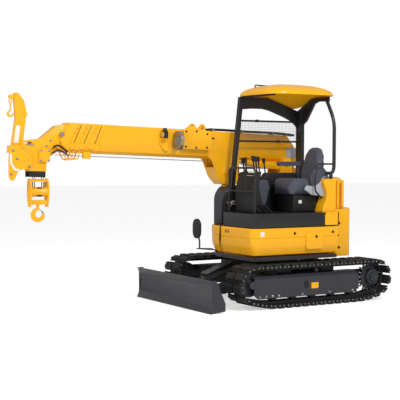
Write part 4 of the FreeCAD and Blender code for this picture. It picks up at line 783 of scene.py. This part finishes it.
def pressed_skirt(name, node, plan, rounds, profile, material):
    """Panel pressed over a rounded plan, through the insets and levels of its profile."""
    line = []
    for number, spot in enumerate(plan):
        if number in rounds:
            before, corner, after = Vector(plan[number - 1]), Vector(spot), Vector(plan[number + 1])
            line += eased(before, corner, after, rounds[number], rounds[number], 8)
        else:
            line.append(Vector(spot))
    work = bmesh.new()
    rings = []
    for inset, rise in profile:
        ring = []
        for index, spot in enumerate(line):
            heading = (line[min(index + 1, len(line) - 1)] - line[max(index - 1, 0)]).normalized()
            inward = Vector((heading.y, -heading.x))
            ring.append(work.verts.new((*(spot + inward * inset), rise)))
        rings.append(ring)
    skin(work, rings, closed=False)
    bmesh.ops.recalc_face_normals(work, faces=work.faces)
    bmesh.ops.solidify(work, geom=work.faces[:], thickness=0.01)
    return made(name, work, node, material)


SKIRT = ((0.03, 1.028), (0.01, 1.026), (0.0, 1.014), (0.0, 0.908), (0.009, 0.899), (0.009, 0.893),
         (0.002, 0.884), (0.004, 0.8), (0.014, 0.764), (0.05, 0.68))
# Inset and levels of the dark band below the skirts, which is painted shade under their lower edge.
BAND = ((0.038, 0.66), (0.038, 0.61))
LEFT_PLAN = [(-0.39, 0.88), (0.905, 0.88), (0.985, 0.81), (0.985, 0.11)]
BAND_PLAN = [(-0.39, 0.88), (0.985, 0.88), (0.985, 0.11)]
RIGHT_PLAN = [(0.985, 0.095), (0.975, -0.07), (0.905, -0.25), (0.775, -0.43), (0.29, -0.895),
              (-0.39, -0.895)]
RIGHT_ROUNDS = {1: 0.05, 2: 0.06, 3: 0.08, 4: 0.12}
left_skirt = pressed_skirt("left_skirt", "skirt_left", LEFT_PLAN, {1: 0.05, 2: 0.05}, SKIRT, yellow_paint)
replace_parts(left_skirt, "skirt_left")
right_skirt = pressed_skirt("right_skirt", "skirt_right", RIGHT_PLAN, RIGHT_ROUNDS, SKIRT, yellow_paint)
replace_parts(right_skirt, "skirt_right")
# Dark bands tucked below both skirts: painted shade under the skirts' lower edge.
pressed_skirt("left_underband", "revolving_frame", BAND_PLAN, {1: 0.02}, BAND, dark_paint)
pressed_skirt("right_underband", "revolving_frame", RIGHT_PLAN, RIGHT_ROUNDS, BAND, dark_paint)
seam = tube(bmesh.new(), [(0.988, 0.103, 1.03), (0.996, 0.1, 0.9), (0.985, 0.085, 0.8),
                          (0.93, 0.06, 0.69)], 0.009, 0.08)
made("seam_strip", seam, "skirt_left", soft_rubber, 0.001)
DECK_TOP = 1.031
HOOD_TOP = 1.56
HOOD_REAR = 0.44
nose = bmesh.new()
for low_y, high_y, front, bend in ((-0.262, -0.072, 0.866, 0.26), (-0.42, -0.262, 0.77, 0.2),
                                   (-0.498, -0.42, 0.7, 0.16)):
    profile = [(HOOD_REAR, HOOD_TOP), (HOOD_REAR, DECK_TOP), (front, DECK_TOP)]
    for step in range(11):
        turn = math.radians(9 * step)
        profile.append((front - bend + bend * math.cos(turn), HOOD_TOP - bend + bend * math.sin(turn)))
    slab(nose, profile, low_y, high_y)
stand_in("front_hood", nose, "front_cover", frame_paint, 0.018, 4)
cover = bmesh.new()
slab(cover, [(-0.425, DECK_TOP), (-0.18, DECK_TOP), (-0.18, 1.18), (-0.2, 1.222), (-0.425, 1.222)],
     0.56, 0.846)
slab(cover, [(-0.425, 1.215), (-0.195, 1.215), (-0.215, 1.3), (-0.262, 1.4), (-0.268, 1.47),
             (-0.232, 1.56), (-0.205, 1.62), (-0.225, 1.655), (-0.27, 1.662), (-0.425, 1.662)], 0.605, 0.795)
made("rear_cover", cover, "revolving_frame", yellow_paint, 0.02, 4)
ribs = bmesh.new()
for x in (-0.475, -0.56):
    bar(ribs, (x, 0.752, 1.275), (x, 0.752, 1.64), 0.02, 20)
made("hood_ribs", ribs, "engine_hood", yellow_paint, 0.016, 4)
plugs = [(-0.5, 0.76, 1.06), (-0.48, 0.76, 0.9), (-0.5, 0.76, 0.73),
         (0.333, 0.88, 0.955), (-0.3, 0.88, 0.955)]
bolted("bolt_plugs", plugs, LEFTWARD, 0.014, "skirt_left", black_plastic)
lock = bar(bmesh.new(), (-0.012, 0.89, 0.905), (-0.012, 0.901, 0.905), 0.018, 24)
made("door_lock", lock, "fuel_door", black_plastic)
slots = bmesh.new()
for y in (0.225, 0.26, 0.295):
    block(slots, (0.975, y - 0.01, 0.945), (0.9865, y + 0.01, 0.99))
made("skirt_slots", slots, "skirt_left", black_plastic, 0.004)
label = block(bmesh.new(), (-0.004, -0.03, -0.028), (0.0025, 0.03, 0.032))
aslant = Matrix.Translation((0.845, 0.88, 0.955)) @ Matrix.Rotation(math.radians(90), 4, "Z")
made("blank_label", label, "skirt_left", white_label, 0.0006, place=aslant)
fittings = bmesh.new()
hoses = bmesh.new()
for y, z, drop in ((-0.02, 1.33, 0.0), (0.03, 1.3, 0.02), (0.08, 1.34, -0.01)):
    bar(fittings, (0.7, y, z), (0.8, y, z), 0.016, 16)
    bar(fittings, (0.76, y, z), (0.78, y, z), 0.024, 6)
    tube(hoses, [(0.7, y, z), (0.56, y, z), (0.52, y + 0.03, 1.24 + drop), (0.4, y + 0.05, 1.232)],
         0.014, 0.06)
made("hose_ends", fittings, "front_cover", bright_steel)
made("valve_hoses", hoses, "front_cover", soft_rubber, 0.001)

# Canopy: an arched yellow roof of moulded plastic with a folded rear corner. It is bolted
# to a black welded frame of two flat posts, two bowed beams and a bent tube.

LIP = 2.77
BEAM_TOP = LIP - 0.004
ROOF_WALL = 0.012
ROOF_RISE = ((0.0, 0.0), (0.002, 0.02), (0.012, 0.042), (0.038, 0.066), (0.08, 0.09),
             (0.13, 0.108), (0.19, 0.124), (0.26, 0.137), (0.33, 0.146), (0.4, 0.15))
# Brownish dark yellow for the roof's inner skin: painted shade on the underside of the yellow roof.
roof_underside_shade = painted("roof_underside_shade", (0.36, 0.165, 0.004), (0.3, 0.13, 0.003), 0.55, 0.0)


def corner_level(x, y):
    """Height of the roof's sloping corner, which falls to the rear on the right."""
    return LIP + 0.332 * (x - 0.131) + 0.547 * (y + 0.03)


def roof_ring(inset, rise):
    """Rounded outline of the roof at one inset."""
    low_x, high_x, low_y, high_y = -0.445 + inset, 0.655 - inset, -0.128 + inset, 0.848 - inset
    radius = max(0.26 * (1 - inset / 0.49), 0.02)
    spots = []
    for number, (x, y) in enumerate(((low_x, low_y), (high_x, low_y), (high_x, high_y), (low_x, high_y))):
        middle_x = x + radius if x == low_x else x - radius
        middle_y = y + radius if y == low_y else y - radius
        for step in range(9):
            turn = math.pi + (number + step / 8) * math.pi / 2
            spots.append(Vector((middle_x + radius * math.cos(turn), middle_y + radius * math.sin(turn),
                                 LIP + rise)))
    return spots


roof = bmesh.new()
rims = []
for side, wall in enumerate((0.0, ROOF_WALL)):
    rings = []
    for inset, rise in ROOF_RISE:
        ring = []
        for spot in roof_ring(inset + wall, max(rise - wall, 0.0)):
            spot.z = min(spot.z, corner_level(spot.x, spot.y) + 0.045 - wall)
            ring.append(roof.verts.new(spot))
        rings.append(ring)
    for panel in skin(roof, rings) + [roof.faces.new(rings[-1])]:
        panel.material_index = side
    rims.append(rings[0])
skin(roof, rims)
roof_piece = made("roof", roof, "canopy_roof", yellow_paint, 0.004)
# The inner skin takes the second material, the painted shade of the underside.
roof_piece.data.materials.append(roof_underside_shade)
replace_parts(roof_piece, "canopy_roof")
handle = tube(bmesh.new(), [(0.52, 0.22, 2.88), (0.52, 0.22, 2.914), (-0.1, 0.1, 2.914),
                            (-0.1, 0.1, 2.88)], 0.009, 0.02)
made("roof_rod", handle, "canopy_roof", dark_paint, 0.001)
FLOOR_TOP = 1.2155
posts = bmesh.new()
slab(posts, [(0.725, FLOOR_TOP), (0.788, FLOOR_TOP), (0.612, BEAM_TOP), (0.55, BEAM_TOP)], -0.058, -0.002)
slab(posts, [(-0.428, FLOOR_TOP), (-0.37, FLOOR_TOP), (-0.37, 2.605), (-0.428, 2.588)], -0.06, 0.07)
slab(posts, [(0.575, BEAM_TOP), (0.145, BEAM_TOP), (-0.372, 2.6), (-0.372, 2.33), (-0.352, 2.385),
             (-0.266, 2.453), (-0.13, 2.51), (-0.006, 2.551), (0.11, 2.59), (0.231, 2.613),
             (0.4, 2.612), (0.566, 2.598)], -0.048, -0.012)
slab(posts, [(-0.06, 2.38), (0.07, 2.4), (0.161, 2.457), (0.25, 2.57), (0.339, 2.685), (0.427, 2.712),
             (0.65, 2.705), (0.65, BEAM_TOP), (0.29, BEAM_TOP), (-0.06, 2.596)], -0.419, -0.383, "x")
slab(posts, [(0.5, FLOOR_TOP), (0.555, FLOOR_TOP), (0.555, 1.69), (-0.06, 1.69), (-0.06, FLOOR_TOP)],
     -0.43, -0.418, "x")
tube(posts, [(-0.372, 0.62, LIP - 0.022), (-0.372, 0.8, 2.44), (-0.372, 0.8, 1.735),
             (-0.24, 0.8, 1.735)], 0.024, 0.12, 20)
block(posts, (-0.362, 0.77, 1.662), (-0.312, 0.792, 1.722))
block(posts, (0.54, -0.03, LIP - 0.02), (0.572, 0.72, LIP + 0.004))
stand_in("posts_and_beams", posts, "canopy_frame", dark_paint, 0.006, 3)

# Side guard: two black steel bars with knobs, clamped between the canopy's posts on the
# boom side, and a light wire mesh that is tied to them.

GUARD_SIDE = -0.03
UPPER_BAR = 2.446
LOWER_BAR = 2.168
MESH_PITCH = 0.024
guard_bars = bmesh.new()
bar(guard_bars, (-0.372, GUARD_SIDE, UPPER_BAR), (0.588, GUARD_SIDE, UPPER_BAR), 0.0125, 14)
bar(guard_bars, (-0.372, GUARD_SIDE, LOWER_BAR), (0.617, GUARD_SIDE, LOWER_BAR), 0.0125, 14)
for x, z in ((0.33, UPPER_BAR), (-0.035, LOWER_BAR)):
    bar(guard_bars, (x, GUARD_SIDE, z), (x, 0.02, z), 0.02)
stand_in("guard_bars", guard_bars, "side_guard", dark_paint)


def wires(name, half, spots, heading):
    """Parallel wires of one length, centred on their spots."""
    wire = settled("wire", bar(bmesh.new(), (0, 0, -half), (0, 0, half), 0.0016, 6))
    stood = [(spot, Vector(heading), Vector(LEFTWARD)) for spot in spots]
    repeated(name, stood, wire, "side_guard", worn_steel)


wires("mesh_uprights", 0.137, [(-0.36 + MESH_PITCH * number, GUARD_SIDE, 2.307) for number in range(40)],
      (0, 0, 1))
wires("mesh_rows", 0.48, [(0.112, -0.028, 2.19 + MESH_PITCH * number) for number in range(11)], (1, 0, 0))

# Operator's station: a vinyl seat with a pale plastic shell, consoles with levers and a
# black guard loop ahead of the knees. Everything is bolted to the floor.

PAD_CAP = 0.024
PAD_FRAMES = 20
PAD_EVENING = 24
dressed("seat_base", black_plastic, 0.02, 3)


def filled_pad(name, work, node, lowest):
    """Vinyl cover over foam: it swells by at most the cap, and stays flat where it rests."""
    bmesh.ops.recalc_face_normals(work, faces=work.faces)
    cover = in_scene(name + "_cover", settled(name + "_slack", work))
    voxels = cover.modifiers.new("voxels", "REMESH")
    voxels.mode = "VOXEL"
    voxels.voxel_size = 0.006
    bpy.context.view_layer.update()
    mesh = bpy.data.meshes.new_from_object(as_seen(cover))
    cover.modifiers.clear()
    cover.data = mesh
    before = [vertex.co.copy() for vertex in mesh.vertices]
    cloth = cover.modifiers.new("cloth", "CLOTH")
    cloth.settings.use_pressure = True
    cloth.settings.uniform_pressure_force = 4
    cloth.settings.effector_weights.gravity = 0
    cloth.point_cache.frame_start = 1
    cloth.point_cache.frame_end = PAD_FRAMES
    for frame_number in range(1, PAD_FRAMES + 1):
        bpy.context.scene.frame_set(frame_number)
    after = [vertex.co.copy() for vertex in as_seen(cover).data.vertices]
    cover.modifiers.clear()
    for vertex, start, end in zip(mesh.vertices, before, after):
        move = end - start
        if move.length > PAD_CAP:
            move *= PAD_CAP / move.length
        vertex.co = start + move
        vertex.co.z = max(vertex.co.z, lowest)
    bpy.context.scene.frame_set(1)
    bpy.data.objects.remove(cover)
    evened = bmesh.new()
    evened.from_mesh(mesh)
    for _ in range(PAD_EVENING):
        bmesh.ops.smooth_vert(evened, verts=evened.verts, factor=0.5, use_axis_x=True, use_axis_y=True,
                              use_axis_z=True)
    evened.to_mesh(mesh)
    evened.free()
    mesh.name = name
    for face in mesh.polygons:
        face.use_smooth = True
    piece = show(name, mesh, node, grey_vinyl)
    smooth = piece.modifiers.new("smooth", "SUBSURF")
    smooth.levels = 1
    smooth.render_levels = 1
    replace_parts(piece, node)


SEAT_SIDE = 0.42
cushion = bmesh.new()
slab(cushion, [(-0.205, 0.205), (0.185, 0.205), (0.212, 0.235), (0.212, 0.605), (0.185, 0.635),
               (-0.205, 0.635)], 1.45, 1.63, "z")
BOLSTER = ((-0.205, 0.215), (0.185, 0.215), (0.205, 0.185), (0.205, 0.14), (-0.205, 0.155))
for way in (-1, 1):
    slab(cushion, [(x, SEAT_SIDE + way * reach) for x, reach in BOLSTER], 1.6, 1.65, "z")
filled_pad("seat_pad", cushion, "seat_cushion", 1.4465)
BACK_FOOT = 1.56
BACK_HALF = [(0.19, 1.585), (0.212, 1.7), (0.208, 1.85), (0.172, 2.0), (0.11, 2.08), (0.055, 2.1)]
back_outline = [(-0.19, 1.585)] + BACK_HALF + [(-y, z) for y, z in reversed(BACK_HALF[1:])]
back = slab(bmesh.new(), back_outline, -0.036, 0.036, "x")
lean = Matrix.Translation((-0.262, SEAT_SIDE, BACK_FOOT)) @ Matrix.Rotation(math.radians(-11), 4, "Y")
bmesh.ops.transform(back, matrix=lean @ Matrix.Translation((0, 0, -BACK_FOOT)), verts=back.verts)
filled_pad("seat_back_pad", back, "seat_back", BACK_FOOT)
bolster = slab(bmesh.new(), oval((-0.215, 1.64), 0.15, 0.185, 28), 0.655, 0.715)
made("seat_bolster", bolster, "seat_base", grey_vinyl, 0.028, 5)
shell = [(-0.46, 1.56), (-0.4, 1.47), (-0.25, 1.425), (-0.06, 1.445), (0.06, 1.52), (0.02, 1.575),
         (-0.12, 1.56), (-0.2, 1.61), (-0.26, 1.7), (-0.4, 1.69)]
made("seat_shell", slab(bmesh.new(), shell, 0.7, 0.728), "seat_base", pale_plastic, 0.012, 4)
knee = [(0.36, 1.3), (0.43, 1.29), (0.52, 1.56), (0.47, 1.64), (0.33, 1.64), (0.3, 1.54)]
made("knee_pad", slab(bmesh.new(), knee, 0.215, 0.275), "seat_base", grey_vinyl, 0.026, 5)
rest = [(-0.3, 1.83), (0.06, 1.83), (0.085, 1.86), (0.07, 1.89), (-0.3, 1.89)]
rests = slab(bmesh.new(), rest, 0.103, 0.167)
tube(rests, [(-0.26, 0.135, 1.84), (-0.28, 0.135, 1.64), (-0.27, 0.135, 1.48)], 0.016, 0.05)
made("arm_rests", rests, "seat_base", grey_vinyl, 0.014, 4)
for node in ("side_console", "front_console"):
    dressed(node, black_plastic, 0.016, 3)
panels = bmesh.new()
slab(panels, [(0.694, 1.7), (0.702, 1.7), (0.668, 1.77), (0.66, 1.77)], 0.3, 0.46)
slab(panels, [(0.03, 1.33), (0.08, 1.33), (0.08, 1.375), (0.03, 1.375)], 0.621, 0.624)
made("blank_panels", panels, "front_console", white_label, 0.001)
levers = bmesh.new()
for x, y, z in ((0.64, 0.16, 1.9), (0.64, 0.22, 1.91), (0.64, 0.4, 1.93), (0.64, 0.46, 1.92),
                (0.33, 0.07, 1.92), (0.25, 0.09, 1.9)):
    bar(levers, (x, y, 1.7), (x + 0.03, y, z), 0.01, 12)
    bar(levers, (x + 0.028, y, z - 0.035), (x + 0.034, y, z + 0.035), 0.02, 16, 0.026)
made("levers", levers, "front_console", black_plastic, 0.003)
pedals = bmesh.new()
for y in (0.56, 0.68):
    slab(pedals, [(0.6, 1.225), (0.72, 1.33), (0.726, 1.322), (0.608, 1.216)], y, y + 0.08)
made("pedals", pedals, "front_console", soft_rubber, 0.003)
LOOP_X = 0.83
LOOP_TOP = 1.805
LOOP_MIDDLE = 1.5
loop = tube(bmesh.new(), [(LOOP_X, 0.075, FLOOR_TOP), (LOOP_X, 0.075, LOOP_TOP), (LOOP_X, 0.69, LOOP_TOP),
                          (LOOP_X, 0.69, FLOOR_TOP)], 0.014, 0.07, 14)
bar(loop, (LOOP_X, 0.075, LOOP_MIDDLE), (LOOP_X, 0.69, LOOP_MIDDLE), 0.01, 12)
for y in (0.3, 0.46):
    bar(loop, (LOOP_X, y, LOOP_MIDDLE), (LOOP_X, y, LOOP_TOP), 0.008, 12)
stand_in("guard_loop", loop, "front_guard", dark_paint)
rail = tube(bmesh.new(), [(-0.35, 0.785, 1.86), (-0.09, 0.785, 1.86), (-0.062, 0.785, 1.51),
                          (-0.18, 0.785, 1.4)], 0.012, 0.05, 14)
stand_in("entrance_rail", rail, "grab_rail", dark_paint)
